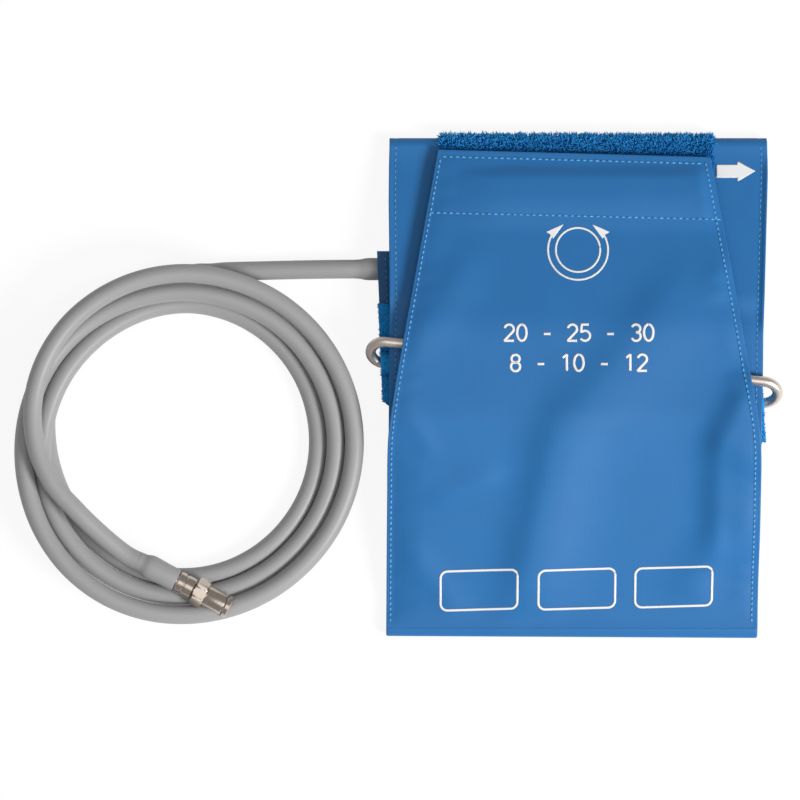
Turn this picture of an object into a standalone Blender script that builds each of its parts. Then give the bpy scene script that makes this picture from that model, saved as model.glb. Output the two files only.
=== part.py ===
"""Ring-closure upper-arm blood pressure cuff, folded flat, with its coiled air hose and screw coupling.

Metres, +Z up. The cuff's back leaf lies on the table at z = 0, +Y runs from the bottom fold to the top
fold, and X runs along the two folds.
"""

import math

import bmesh
import bpy
import numpy as np
from mathutils import Matrix, Vector

MM = 0.001

# Fits
FIT = 0.3 * MM
RUNNING_FIT = 0.5 * MM

# Plies
CLOTH = 0.6 * MM
BLADDER_THICK = 1.4 * MM
LOOP_PILE = 1.2 * MM
HOOK_PILE = 1.0 * MM
GUARD_THICK = 1.0 * MM
STRAP_THICK = 1.0 * MM

# Band: widths and lean of its two side edges
CUFF_WIDTH_TOP = 144.8 * MM
CUFF_WIDTH_BOTTOM = 142.8 * MM
CUFF_LEAN_TOP = 2.1 * MM
CUFF_LEAN_BOTTOM = -0.4 * MM
TOP_FOLD_Y = 95.9 * MM
BOTTOM_FOLD_Y = -96.1 * MM
BACK_LEAF_END_Y = -60.0 * MM
TOP_FOLD_INNER_RADIUS = 0.4 * MM
BOTTOM_FOLD_INNER_RADIUS = 1.2 * MM
BOTTOM_FOLD_FLAT = 7.0 * MM
TOP_FOLD_FLAT = 4.0 * MM
LEAF_ROUNDING = 30.0 * MM

# Bladder and its port
BLADDER_WIDTH = 122.0 * MM
BLADDER_BACK_END_Y = -50.0 * MM
BLADDER_FRONT_END_Y = 35.0 * MM
COVER_STEP = 9.0 * MM
PORT_Y = 45.2 * MM
PORT_AXIS_Z = 4.6 * MM
PORT_INSET = 16.0 * MM
PORT_FLANGE_LENGTH = 12.0 * MM
PORT_FLANGE_WIDTH = 11.0 * MM
PORT_FLANGE_THICK = 0.8 * MM
PORT_BOSS_LENGTH = 8.0 * MM
NIPPLE_RADIUS = 2.0 * MM
NIPPLE_BORE_RADIUS = 1.1 * MM
NIPPLE_IN_HOSE = 9.0 * MM
NOTCH_MARGIN = 1.0 * MM

# Ring-end panel, whose free end is the guard that lies under the closing band
GUARD_END_Y = 52.0 * MM
GUARD_LEFT_TOP = -75.7 * MM
GUARD_LEFT_BOTTOM = -73.2 * MM
GUARD_RIGHT_TOP = 70.4 * MM
GUARD_RIGHT_BOTTOM = 73.5 * MM
GUARD_BOTTOM_LEFT_Y = -8.0 * MM
GUARD_BOTTOM_RIGHT_Y = -22.0 * MM
TONGUE_HALF_WIDTH = 69.0 * MM
TONGUE_SHOULDER = 14.0 * MM
LAP_LENGTH = 12.0 * MM
GUARD_RISE_END_Y = -12.0 * MM

# Wire ring and the strap that holds its lower bar
WIRE = 4.0 * MM
RING_LENGTH = 161.0 * MM
RING_BAR_STEP_Y = 8.2 * MM
RING_TILT = math.radians(6.0)
RING_X = -0.4 * MM
RING_Y = 1.1 * MM
RING_SWING_ROOM = 1.1 * MM
STRAP_BELOW_BAR = 15.0 * MM
STRAP_ABOVE_BAR = 23.0 * MM
STRAP_LEFT_TOP = -75.3 * MM
STRAP_LEFT_BOTTOM = -73.5 * MM
STRAP_RIGHT_TOP = 71.5 * MM
STRAP_RIGHT_BOTTOM = 74.1 * MM
STRAP_ARC_END = math.radians(25.0)
LEVEL_MARGIN = 4.5 * MM

# Closing flap
FLAP_TIP_Y = 89.6 * MM
FLAP_TIP_WIDTH = 103.8 * MM
FLAP_TIP_SHIFT = 0.7 * MM
FLAP_SHOULDER_Y = -19.0 * MM
FLAP_SHOULDER_ROUND = 9.0 * MM
FLAP_FOLD_WIDTH = 142.4 * MM
LOOP_LEFT = -51.4 * MM
LOOP_RIGHT = 54.1 * MM
LOOP_END_Y = 37.0 * MM
HOOK_LEFT = -47.6 * MM
HOOK_RIGHT = 48.7 * MM
HOOK_TOP_Y = 86.5 * MM
HOOK_BOTTOM_Y = 71.0 * MM

# Air hose
HOSE = 7.0 * MM
HOSE_FLOOR = 0.1 * MM
SLEEVE_DIAMETER = 8.6 * MM
SLEEVE_LENGTH = 10.4 * MM
SLEEVE_MOUTH_X = -71.4 * MM
HOSE_WALL_CLEARANCE = 0.3 * MM
COIL_X = -148.0 * MM
COIL_Y = -22.3 * MM
LOOP_POINTS = 24
SELF_GAP = 0.6 * MM
LEAST_SELF_GAP = 0.4 * MM
HUMP_REACH = 2
STACK_PASSES = 6
# Coiled hose, from the top of its first turn: turns made so far, and distance from the coil's middle
COIL_ROUTE = (
    (0.00, 66.6 * MM), (0.25, 53.9 * MM), (0.36, 50.2 * MM), (0.50, 49.2 * MM), (0.75, 49.0 * MM),
    (1.00, 53.9 * MM), (1.25, 56.4 * MM), (1.36, 57.7 * MM), (1.50, 57.8 * MM), (1.75, 56.7 * MM),
    (2.00, 58.1 * MM), (2.25, 64.4 * MM), (2.50, 65.7 * MM), (2.75, 64.4 * MM),
    (3.00, 65.9 * MM), (3.25, 57.4 * MM), (3.34, 51.7 * MM), (3.39, 49.5 * MM), (3.44, 49.2 * MM),
)
# Lead from the cuff to the coil: points along the table
LEAD_POINTS = (
    (-87.0 * MM, 45.2 * MM, 4.6 * MM),
    (-97.0 * MM, 45.1 * MM, 4.2 * MM),
    (-109.0 * MM, 44.9 * MM, 3.7 * MM),
    (-122.0 * MM, 44.6 * MM, 3.6 * MM),
    (-133.0 * MM, 44.4 * MM, 3.6 * MM),
)

# Screw coupling
COUPLING_AXIS_ANGLE = math.radians(-27.3)
COUPLING_AXIS_Z = 13.2 * MM
HOSE_END_DIAMETER = 9.2 * MM
HOSE_END_LENGTH = 14.7 * MM
COLLAR_DIAMETER = 8.4 * MM
COLLAR_LENGTH = 7.3 * MM
HEX_ACROSS_FLATS = 9.9 * MM
HEX_LENGTH = 4.6 * MM
BARREL_DIAMETER = 8.5 * MM
BARREL_LENGTH = 8.2 * MM
BARREL_BORE_RADIUS = 3.3 * MM
END_RING_DIAMETER = 8.7 * MM
END_RING_LENGTH = 2.1 * MM
END_RING_BORE_RADIUS = 3.0 * MM
STEM_RADIUS = 1.9 * MM
STEM_BORE_RADIUS = 1.1 * MM
STEM_IN_HOSE = 11.0 * MM
BARB_RADIUS = 2.4 * MM
BARB_LENGTH = 3.0 * MM
FLANGE_RADIUS = 2.9 * MM
FLANGE_LENGTH = 1.6 * MM
SEAL_WIRE = 1.0 * MM
ROUND_STEPS = 32

# Levels, from the table up
WIRE_RADIUS = WIRE / 2
HOSE_RADIUS = HOSE / 2
LINING_TOP = 2 * CLOTH + BLADDER_THICK + 2 * FIT
BLADDER_NEAR = CLOTH + FIT
COVER_NEAR = BLADDER_NEAR + BLADDER_THICK + FIT
LOOP_NEAR = COVER_NEAR + CLOTH + FIT
HOOK_NEAR = LOOP_NEAR + LOOP_PILE + FIT
FLAP_NEAR = HOOK_NEAR + HOOK_PILE + FIT
LAP_Z = LINING_TOP + FIT
GUARD_Z = PORT_AXIS_Z + SLEEVE_DIAMETER / 2 + RUNNING_FIT
BAR_Z = GUARD_Z + GUARD_THICK + FIT + WIRE_RADIUS
STRAP_MIDDLE_RADIUS = WIRE_RADIUS + RING_SWING_ROOM + STRAP_THICK / 2
STRAP_TOP = BAR_Z + STRAP_MIDDLE_RADIUS + STRAP_THICK / 2
LEAF_LEVEL = STRAP_TOP + FIT
UPPER_BAR_Z = LEAF_LEVEL + 2 * CLOTH + 2 * FIT + WIRE_RADIUS
FLAP_LEVEL = max(UPPER_BAR_Z + WIRE_RADIUS + RUNNING_FIT, LEAF_LEVEL + FLAP_NEAR)
TOP_FOLD_OUTER_RADIUS = TOP_FOLD_INNER_RADIUS + COVER_NEAR + CLOTH
TOP_FOLD_CENTRE_Y = TOP_FOLD_Y - TOP_FOLD_OUTER_RADIUS
TOP_FOLD_CENTRE_Z = LINING_TOP + TOP_FOLD_INNER_RADIUS
LEAF_THICK = 2 * CLOTH + FIT
BOTTOM_FOLD_OUTER_RADIUS = BOTTOM_FOLD_INNER_RADIUS + LEAF_THICK
BOTTOM_FOLD_CENTRE_Y = BOTTOM_FOLD_Y + BOTTOM_FOLD_OUTER_RADIUS
BOTTOM_FOLD_CENTRE_Z = FIT + BOTTOM_FOLD_OUTER_RADIUS

# Level stretch of the front leaf, long enough for both bars of the slanted ring
RING_HALF_SPREAD = RING_LENGTH / 2 * math.tan(RING_TILT)
LEVEL_TOP_Y = RING_Y + RING_BAR_STEP_Y + RING_HALF_SPREAD + LEVEL_MARGIN
LEVEL_BOTTOM_Y = RING_Y - RING_HALF_SPREAD - LEVEL_MARGIN


def clear_scene():
    for item in list(bpy.data.objects):
        bpy.data.objects.remove(item, do_unlink=True)


def material(name, colour, roughness, metallic=0.0):
    made = bpy.data.materials.new(name)
    made.use_nodes = True
    shader = made.node_tree.nodes["Principled BSDF"]
    shader.inputs["Base Color"].default_value = (*colour, 1.0)
    shader.inputs["Roughness"].default_value = roughness
    shader.inputs["Metallic"].default_value = metallic
    return made


def add_object(name, data, finish):
    data.materials.append(finish)
    made = bpy.data.objects.new(name, data)
    bpy.context.scene.collection.objects.link(made)
    return made


def mesh_object(name, points, faces, finish, smooth=False):
    """A closed mesh with its faces turned outwards."""
    mesh = bpy.data.meshes.new(name)
    mesh.from_pydata([tuple(p) for p in points], [], faces)
    shape = bmesh.new()
    shape.from_mesh(mesh)
    bmesh.ops.recalc_face_normals(shape, faces=shape.faces[:])
    shape.to_mesh(mesh)
    shape.free()
    if smooth:
        mesh.shade_smooth()
        mesh.set_sharp_from_angle(angle=math.radians(35))
    return add_object(name, mesh, finish)


def rounded(corners, radius, steps=6):
    """A line through the corners, with each inner corner turned by an arc of this radius."""
    corners = [np.array(c, float) for c in corners]
    path = [corners[0]]
    for before, at, after in zip(corners, corners[1:], corners[2:]):
        back = (before - at) / np.linalg.norm(before - at)
        ahead = (after - at) / np.linalg.norm(after - at)
        half = math.acos(float(np.clip(back @ ahead, -1, 1))) / 2
        room = 0.49 * min(np.linalg.norm(before - at), np.linalg.norm(after - at))
        reach = min(radius / math.tan(half), room)
        turn = reach * math.tan(half)
        towards = (back + ahead) / np.linalg.norm(back + ahead)
        centre = at + towards * turn / math.sin(half)
        first = at + back * reach - centre
        last = at + ahead * reach - centre
        for share in np.linspace(0, 1, steps):
            spoke = first * (1 - share) + last * share
            path.append(centre + spoke / np.linalg.norm(spoke) * turn)
    path.append(corners[-1])
    return np.array(path)


def arc(centre_y, centre_z, radius, start, end, steps):
    angles = np.radians(np.linspace(start, end, steps))
    return np.column_stack((centre_y + radius * np.cos(angles), centre_z + radius * np.sin(angles)))


def outward(path):
    """Mitred normals on the right-hand side of a path in the YZ plane."""
    runs = np.diff(path, axis=0)
    runs = runs / np.linalg.norm(runs, axis=1)[:, None]
    before = np.vstack((runs[:1], runs))
    after = np.vstack((runs, runs[-1:]))
    along = before + after
    along = along / np.linalg.norm(along, axis=1)[:, None]
    stretch = 1 / np.maximum(np.sum(along * after, axis=1), 0.5)
    return np.column_stack((along[:, 1], -along[:, 0])) * stretch[:, None]


def between(path, first_y, last_y):
    """The stretch of a path that runs towards -Y, from first_y down to last_y."""
    ys = path[:, 0]
    inside = path[(ys < first_y) & (ys > last_y)]
    ends = [(y, np.interp(y, ys[::-1], path[::-1, 1])) for y in (first_y, last_y)]
    return np.vstack((ends[:1], inside, ends[1:]))


def with_stations(path, ys):
    """A path that runs towards -Y, with a point added at each of these y."""
    ys = [y for y in ys if path[-1, 0] < y < path[0, 0]]
    added = np.unique(np.concatenate((path[:, 0], ys)))[::-1]
    return np.column_stack((added, np.interp(added, path[::-1, 0], path[::-1, 1])))


def ribbon(name, path, near, far, left, right, finish):
    """Cloth along a path in the YZ plane: near and far are its two faces' distances from the path,
    and left and right give its side edges at each y."""
    normals = outward(path)
    near = np.broadcast_to(near, len(path))[:, None]
    far = np.broadcast_to(far, len(path))[:, None]
    inner = path + normals * near
    outer = path + normals * far
    points = []
    for (near_y, near_z), (far_y, far_z) in zip(inner, outer):
        points.append((left(near_y), near_y, near_z))
        points.append((right(near_y), near_y, near_z))
        points.append((right(far_y), far_y, far_z))
        points.append((left(far_y), far_y, far_z))
    faces = [(0, 1, 2, 3)]
    for step in range(len(path) - 1):
        for side in range(4):
            here = 4 * step + side
            beside = 4 * step + (side + 1) % 4
            faces.append((here, beside, beside + 4, here + 4))
    last = 4 * (len(path) - 1)
    faces.append((last, last + 1, last + 2, last + 3))
    return mesh_object(name, points, faces, finish)


def turned(name, outline, finish, place=Matrix(), steps=ROUND_STEPS, sides=None):
    """A closed outline of (distance along the axis, radius) pairs, turned about local X."""
    count = sides or steps
    points = []
    for index in range(count):
        angle = 2 * math.pi * index / count
        for along, radius in outline:
            points.append((along, radius * math.cos(angle), radius * math.sin(angle)))
    size = len(outline)
    faces = []
    for index in range(count):
        following = (index + 1) % count
        for step in range(size):
            ahead = (step + 1) % size
            faces.append(
                (index * size + step, index * size + ahead, following * size + ahead, following * size + step)
            )
    made = mesh_object(name, points, faces, finish, smooth=True)
    made.matrix_world = place
    return made


def box_mesh(name, low, high, finish):
    points = [(x, y, z) for x in (low[0], high[0]) for y in (low[1], high[1]) for z in (low[2], high[2])]
    faces = [(0, 1, 3, 2), (4, 6, 7, 5), (0, 4, 5, 1), (2, 3, 7, 6), (0, 2, 6, 4), (1, 5, 7, 3)]
    return mesh_object(name, points, faces, finish)


def helper(item):
    item.hide_render = True
    item.display_type = "WIRE"
    return item


def boolean(item, other, operation):
    change = item.modifiers.new(operation.lower(), "BOOLEAN")
    change.object = helper(other)
    change.operation = operation
    change.solver = "EXACT"


def tube(name, points, diameter, finish, resolution, closed=False):
    """A round tube along the points, with filled ends."""
    curve = bpy.data.curves.new(name, "CURVE")
    curve.dimensions = "3D"
    curve.bevel_depth = diameter / 2
    curve.bevel_resolution = resolution
    curve.use_fill_caps = not closed
    spline = curve.splines.new("POLY")
    spline.points.add(len(points) - 1)
    for point, place in zip(spline.points, points):
        point.co = (*place, 1.0)
    spline.use_cyclic_u = closed
    return add_object(name, curve, finish)


def through(points, spacing):
    """Points about this far apart on a smooth curve through the given ones."""
    points = np.array(points, float)
    ends = np.vstack((2 * points[0] - points[1], points, 2 * points[-1] - points[-2]))
    curve = [points[0]]
    for a, b, c, d in zip(ends, ends[1:], ends[2:], ends[3:]):
        steps = max(1, round(float(np.linalg.norm(c - b)) / spacing))
        for t in np.linspace(0, 1, steps + 1)[1:]:
            pull = (c - a) * t + (2 * a - 5 * b + 4 * c - d) * t**2 + (3 * b - a - 3 * c + d) * t**3
            curve.append(b + pull / 2)
    return np.array(curve)


def smooth_at(knots, values, at):
    """Values between knots on a curve whose slope at each knot is that of its two neighbours."""
    knots = np.array(knots, float)
    values = np.array(values, float)
    slopes = np.gradient(values, knots)
    index = np.clip(np.searchsorted(knots, at) - 1, 0, len(knots) - 2)
    width = knots[index + 1] - knots[index]
    t = (at - knots[index]) / width
    start = (1 + 2 * t) * (1 - t) ** 2 * values[index] + t * (1 - t) ** 2 * width * slopes[index]
    end = t**2 * (3 - 2 * t) * values[index + 1] + t**2 * (t - 1) * width * slopes[index + 1]
    return start + end


def cuff_left(y):
    share = (y - BOTTOM_FOLD_Y) / (TOP_FOLD_Y - BOTTOM_FOLD_Y)
    lean = CUFF_LEAN_BOTTOM + (CUFF_LEAN_TOP - CUFF_LEAN_BOTTOM) * share
    return lean - (CUFF_WIDTH_BOTTOM + (CUFF_WIDTH_TOP - CUFF_WIDTH_BOTTOM) * share) / 2


def cuff_right(y):
    share = (y - BOTTOM_FOLD_Y) / (TOP_FOLD_Y - BOTTOM_FOLD_Y)
    return cuff_left(y) + CUFF_WIDTH_BOTTOM + (CUFF_WIDTH_TOP - CUFF_WIDTH_BOTTOM) * share


def flap_half_width(y):
    """Straight flare from the tip to the shoulder, eased into the parallel part."""
    wide = FLAP_FOLD_WIDTH / 2
    slope = (wide - FLAP_TIP_WIDTH / 2) / (FLAP_TIP_Y - FLAP_SHOULDER_Y)
    flare = wide + (FLAP_SHOULDER_Y - y) * slope
    return (flare + wide - math.hypot(flare - wide, slope * FLAP_SHOULDER_ROUND)) / 2


def flap_middle(y):
    share = (y - BOTTOM_FOLD_Y) / (FLAP_TIP_Y - BOTTOM_FOLD_Y)
    return CUFF_LEAN_BOTTOM + (FLAP_TIP_SHIFT - CUFF_LEAN_BOTTOM) * share


def flap_left(y):
    return flap_middle(y) - flap_half_width(y)


def flap_right(y):
    return flap_middle(y) + flap_half_width(y)


def guard_left(y):
    shoulder = GUARD_BOTTOM_LEFT_Y - TONGUE_SHOULDER
    ys = (shoulder, GUARD_BOTTOM_LEFT_Y, GUARD_END_Y)
    return float(np.interp(y, ys, (-TONGUE_HALF_WIDTH, GUARD_LEFT_BOTTOM, GUARD_LEFT_TOP)))


def guard_right(y):
    shoulder = GUARD_BOTTOM_RIGHT_Y - TONGUE_SHOULDER
    ys = (shoulder, GUARD_BOTTOM_RIGHT_Y, GUARD_END_Y)
    return float(np.interp(y, ys, (TONGUE_HALF_WIDTH, GUARD_RIGHT_BOTTOM, GUARD_RIGHT_TOP)))


def back_leaf():
    return np.array(((BACK_LEAF_END_Y, LINING_TOP), (TOP_FOLD_CENTRE_Y, LINING_TOP)))


def top_fold(start):
    return arc(TOP_FOLD_CENTRE_Y, TOP_FOLD_CENTRE_Z, TOP_FOLD_INNER_RADIUS, start, 90, 9)


def front_leaf():
    """The lining's under face from the top fold, up over the strap, and down to the bottom fold."""
    corners = (
        (TOP_FOLD_CENTRE_Y, TOP_FOLD_CENTRE_Z + TOP_FOLD_INNER_RADIUS),
        (TOP_FOLD_CENTRE_Y - TOP_FOLD_FLAT, TOP_FOLD_CENTRE_Z + TOP_FOLD_INNER_RADIUS),
        (LEVEL_TOP_Y, LEAF_LEVEL),
        (LEVEL_BOTTOM_Y, LEAF_LEVEL),
        (BOTTOM_FOLD_CENTRE_Y + BOTTOM_FOLD_FLAT, FIT),
        (BOTTOM_FOLD_CENTRE_Y + FIT, FIT),
    )
    return rounded(corners, LEAF_ROUNDING)


def flap_path():
    """The flap's under face, from its tip down to the bottom fold."""
    leaf = between(front_leaf(), TOP_FOLD_CENTRE_Y - TOP_FOLD_FLAT, LEVEL_TOP_Y)
    fall = (leaf[0] - leaf[-1]) / np.linalg.norm(leaf[0] - leaf[-1])
    normal = np.array((-fall[1], fall[0]))
    top = leaf[-1] + normal * FLAP_NEAR
    tip = top + fall * (FLAP_TIP_Y - top[0]) / fall[0]
    fold_z = BOTTOM_FOLD_CENTRE_Z + BOTTOM_FOLD_INNER_RADIUS
    corners = (
        tip,
        (top[0], FLAP_LEVEL),
        (LEVEL_BOTTOM_Y, FLAP_LEVEL),
        (BOTTOM_FOLD_CENTRE_Y + BOTTOM_FOLD_FLAT, fold_z),
        (BOTTOM_FOLD_CENTRE_Y + FIT, fold_z),
    )
    return rounded(corners, LEAF_ROUNDING)


def add_band(finishes):
    step_start = BLADDER_FRONT_END_Y - FIT
    leaf = with_stations(front_leaf(), (step_start, step_start - COVER_STEP))
    whole = np.vstack((back_leaf(), top_fold(-90)[1:], leaf[1:]))
    on_front = np.arange(len(whole)) > len(back_leaf())
    sunk = on_front * np.clip((step_start - whole[:, 0]) / COVER_STEP, 0, 1)
    near = COVER_NEAR - sunk * (COVER_NEAR - BLADDER_NEAR)
    ribbon("band_cover", whole, near, near + CLOTH, cuff_left, cuff_right, finishes["coated_cloth"])
    lining = ribbon("band_lining", whole, 0, CLOTH, cuff_left, cuff_right, finishes["lining_cloth"])

    inside = np.vstack((back_leaf(), top_fold(-90)[1:], between(leaf[1:], leaf[1][0], BLADDER_FRONT_END_Y)))
    inside[0, 0] = BLADDER_BACK_END_Y
    middle = (CUFF_LEAN_TOP + CUFF_LEAN_BOTTOM) / 2
    ribbon(
        "air_bladder", inside, BLADDER_NEAR, BLADDER_NEAR + BLADDER_THICK,
        lambda y: middle - BLADDER_WIDTH / 2, lambda y: middle + BLADDER_WIDTH / 2, finishes["bladder_film"],
    )

    flange_end = cuff_left(PORT_Y) + PORT_INSET + PORT_FLANGE_LENGTH
    half = PORT_FLANGE_WIDTH / 2 + NOTCH_MARGIN
    notch = box_mesh(
        "lining_notch",
        (cuff_left(PORT_Y) - NOTCH_MARGIN * 4, PORT_Y - half, LINING_TOP - 2 * CLOTH),
        (flange_end + NOTCH_MARGIN, PORT_Y + half, LINING_TOP + CLOTH),
        finishes["lining_cloth"],
    )
    boolean(lining, notch, "DIFFERENCE")


def add_port(finishes):
    start = cuff_left(PORT_Y) + PORT_INSET
    low_z = LINING_TOP - CLOTH
    tip_x = SLEEVE_MOUTH_X - NIPPLE_IN_HOSE
    flange = box_mesh(
        "bladder_port",
        (start, PORT_Y - PORT_FLANGE_WIDTH / 2, low_z),
        (start + PORT_FLANGE_LENGTH, PORT_Y + PORT_FLANGE_WIDTH / 2, low_z + PORT_FLANGE_THICK),
        finishes["port_plastic"],
    )
    boss_half = NIPPLE_RADIUS + RUNNING_FIT
    boss = box_mesh(
        "port_boss",
        (start + CLOTH, PORT_Y - boss_half, low_z + PORT_FLANGE_THICK / 2),
        (start + PORT_BOSS_LENGTH, PORT_Y + boss_half, PORT_AXIS_Z + boss_half),
        finishes["port_plastic"],
    )
    place = Matrix.Translation((0, PORT_Y, PORT_AXIS_Z))
    length = start + PORT_BOSS_LENGTH / 2 - tip_x
    nipple = turned(
        "port_nipple", rod(tip_x, length, NIPPLE_RADIUS), finishes["port_plastic"], place, steps=24
    )
    bore = turned(
        "port_bore", rod(tip_x - NIPPLE_RADIUS, length, NIPPLE_BORE_RADIUS), finishes["port_plastic"],
        place, steps=16,
    )
    boolean(flange, boss, "UNION")
    boolean(flange, nipple, "UNION")
    boolean(flange, bore, "DIFFERENCE")


def rod(start, length, radius):
    """The outline of a solid rod, closed a hair off its axis so that it stays one ring of faces."""
    core = radius * 1e-3
    return ((start, core), (start, radius), (start + length, radius), (start + length, core))


def add_ring_end(finishes):
    corners = (
        (GUARD_END_Y, GUARD_Z),
        (GUARD_RISE_END_Y, GUARD_Z),
        (BACK_LEAF_END_Y + LAP_LENGTH, LAP_Z),
        (BACK_LEAF_END_Y, LAP_Z),
    )
    shoulders = (
        GUARD_BOTTOM_LEFT_Y, GUARD_BOTTOM_LEFT_Y - TONGUE_SHOULDER,
        GUARD_BOTTOM_RIGHT_Y, GUARD_BOTTOM_RIGHT_Y - TONGUE_SHOULDER,
    )
    path = with_stations(rounded(corners, LEAF_ROUNDING), shoulders)
    ribbon("ring_end_panel", path, 0, GUARD_THICK, guard_left, guard_right, finishes["coated_cloth"])

    slope = math.tan(RING_TILT)
    flat_z = GUARD_Z + GUARD_THICK + FIT + STRAP_THICK / 2
    angles = np.linspace(STRAP_ARC_END, math.pi - STRAP_ARC_END, 9)
    arch = [(STRAP_MIDDLE_RADIUS * math.cos(a), BAR_Z + STRAP_MIDDLE_RADIUS * math.sin(a)) for a in angles]
    foot = arch[0][0] + (arch[0][1] - flat_z) * math.tan(STRAP_ARC_END)
    profile = [(STRAP_ABOVE_BAR, flat_z), (foot, flat_z), *arch, (-foot, flat_z), (-STRAP_BELOW_BAR, flat_z)]
    path = np.array(profile)
    normals = outward(path) * STRAP_THICK / 2
    reach = STRAP_ABOVE_BAR + STRAP_BELOW_BAR
    points = []
    for (across, z), (step, rise) in zip(path, normals):
        share = (across + STRAP_BELOW_BAR) / reach
        left = STRAP_LEFT_BOTTOM + (STRAP_LEFT_TOP - STRAP_LEFT_BOTTOM) * share
        right = STRAP_RIGHT_BOTTOM + (STRAP_RIGHT_TOP - STRAP_RIGHT_BOTTOM) * share
        for x, side in ((left, -1), (right, -1), (right, 1), (left, 1)):
            points.append((x, RING_Y - (x - RING_X) * slope + across + side * step, z + side * rise))
    faces = [(0, 1, 2, 3)]
    for step in range(len(path) - 1):
        for side in range(4):
            here = 4 * step + side
            beside = 4 * step + (side + 1) % 4
            faces.append((here, beside, beside + 4, here + 4))
    last = 4 * (len(path) - 1)
    faces.append((last, last + 1, last + 2, last + 3))
    mesh_object("ring_strap", points, faces, finishes["pile_cloth"])


def add_ring(finishes):
    """A closed wire loop whose lower bar lies on its hinge axis."""
    rise = UPPER_BAR_Z - BAR_Z
    spacing = math.hypot(RING_BAR_STEP_Y, rise)
    end_radius = spacing / 2
    half_bar = RING_LENGTH / 2 - WIRE_RADIUS - end_radius
    outline = []
    for side in (1, -1):
        for angle in np.linspace(-math.pi / 2, math.pi / 2, 11):
            outline.append((side * (half_bar + end_radius * math.cos(angle)),
                            end_radius * (1 + side * math.sin(angle))))
    points = [(x, up * RING_BAR_STEP_Y / spacing, up * rise / spacing) for x, up in outline]
    ring = tube("wire_ring", points, WIRE, finishes["plated_wire"], 4, closed=True)
    pivot = bpy.data.objects.new("ring_pivot", None)
    bpy.context.scene.collection.objects.link(pivot)
    pivot.location = (RING_X, RING_Y, BAR_Z)
    pivot.rotation_euler = (0, 0, -RING_TILT)
    ring.parent = pivot


def add_fastening(finishes):
    leaf = front_leaf()
    patch = np.vstack((top_fold(0), between(leaf[1:], leaf[1][0], LOOP_END_Y)))
    ribbon(
        "loop_patch", patch, LOOP_NEAR, LOOP_NEAR + LOOP_PILE,
        lambda y: LOOP_LEFT, lambda y: LOOP_RIGHT, finishes["pile_cloth"],
    )
    ribbon(
        "hook_patch", between(leaf, HOOK_TOP_Y, HOOK_BOTTOM_Y), HOOK_NEAR, HOOK_NEAR + HOOK_PILE,
        lambda y: HOOK_LEFT, lambda y: HOOK_RIGHT, finishes["hook_tape"],
    )


def add_flap(finishes):
    path = flap_path()
    fold_y = BOTTOM_FOLD_CENTRE_Y
    path = with_stations(path, np.linspace(FLAP_TIP_Y, FLAP_SHOULDER_Y - 2 * FLAP_SHOULDER_ROUND, 12))
    ribbon("flap_backing", path, 0, CLOTH, flap_left, flap_right, finishes["lining_cloth"])
    ribbon("flap_face", path, CLOTH + FIT, 2 * CLOTH + FIT, flap_left, flap_right, finishes["coated_cloth"])
    fold = arc(fold_y, BOTTOM_FOLD_CENTRE_Z, BOTTOM_FOLD_INNER_RADIUS, 90, 270, 9)
    ribbon("bottom_fold", fold, 0, LEAF_THICK, flap_left, flap_right, finishes["coated_cloth"])


def coil_points():
    """The coil's centre line: its radii joined smoothly, each strand resting on those it crosses."""
    angles = [2 * math.pi * turns for turns, _ in COIL_ROUTE]
    radii = [radius for _, radius in COIL_ROUTE]
    step = 2 * math.pi / LOOP_POINTS
    at = np.append(np.arange(0, angles[-1] - step, step), angles[-1])
    radius = smooth_at(angles, radii, at)
    floor = HOSE_FLOOR + HOSE_RADIUS
    reach = HOSE + SELF_GAP
    height = np.full(len(at), floor)
    for _ in range(STACK_PASSES):
        needed = np.full(len(at), floor)
        for below in range(LOOP_POINTS, len(at), LOOP_POINTS):
            upper = slice(below, len(at) - 1)
            lower = slice(0, len(at) - 1 - below)
            aside = np.minimum(np.abs(radius[upper] - radius[lower]), reach)
            lift = np.sqrt(reach**2 - aside**2)
            needed[upper] = np.maximum(needed[upper], np.where(lift > 0, height[lower] + lift, floor))
        height = eased(needed, floor)
    end_rise = np.clip((at - (angles[-1] - math.pi / 2)) / (math.pi / 2), 0, 1)
    height = np.maximum(height, floor + (COUPLING_AXIS_Z - floor) * end_rise**2 * (3 - 2 * end_rise))
    height[-1] = COUPLING_AXIS_Z
    x = COIL_X - radius * np.sin(at)
    y = COIL_Y + radius * np.cos(at)
    return np.column_stack((x, y, height))


def eased(height, floor):
    """The heights spread along the hose by a running maximum, then a running mean."""
    width = 2 * HUMP_REACH + 1
    padded = np.pad(height, HUMP_REACH, mode="edge")
    highest = np.array([padded[i : i + width].max() for i in range(len(height))])
    weights = np.hanning(width + 2)[1:-1]
    padded = np.pad(highest, HUMP_REACH, mode="edge")
    return np.maximum(np.convolve(padded, weights / weights.sum(), mode="valid"), floor)


def least_gap(points, diameter):
    """The least distance between the surfaces of stretches of a tube that are over 3 diameters apart along it."""
    fine = through(points, diameter / 3)
    along = np.concatenate(([0], np.cumsum(np.linalg.norm(np.diff(fine, axis=0), axis=1))))
    apart = np.linalg.norm(fine[:, None] - fine[None], axis=2)
    far = np.abs(along[:, None] - along[None]) > 3 * diameter
    return float(apart[far].min()) - diameter


def coupling_start():
    """Where the coil ends and the hose's widened end begins."""
    return Vector(coil_points()[-1])


def coupling_direction():
    return Vector((math.cos(COUPLING_AXIS_ANGLE), math.sin(COUPLING_AXIS_ANGLE), 0))


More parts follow.
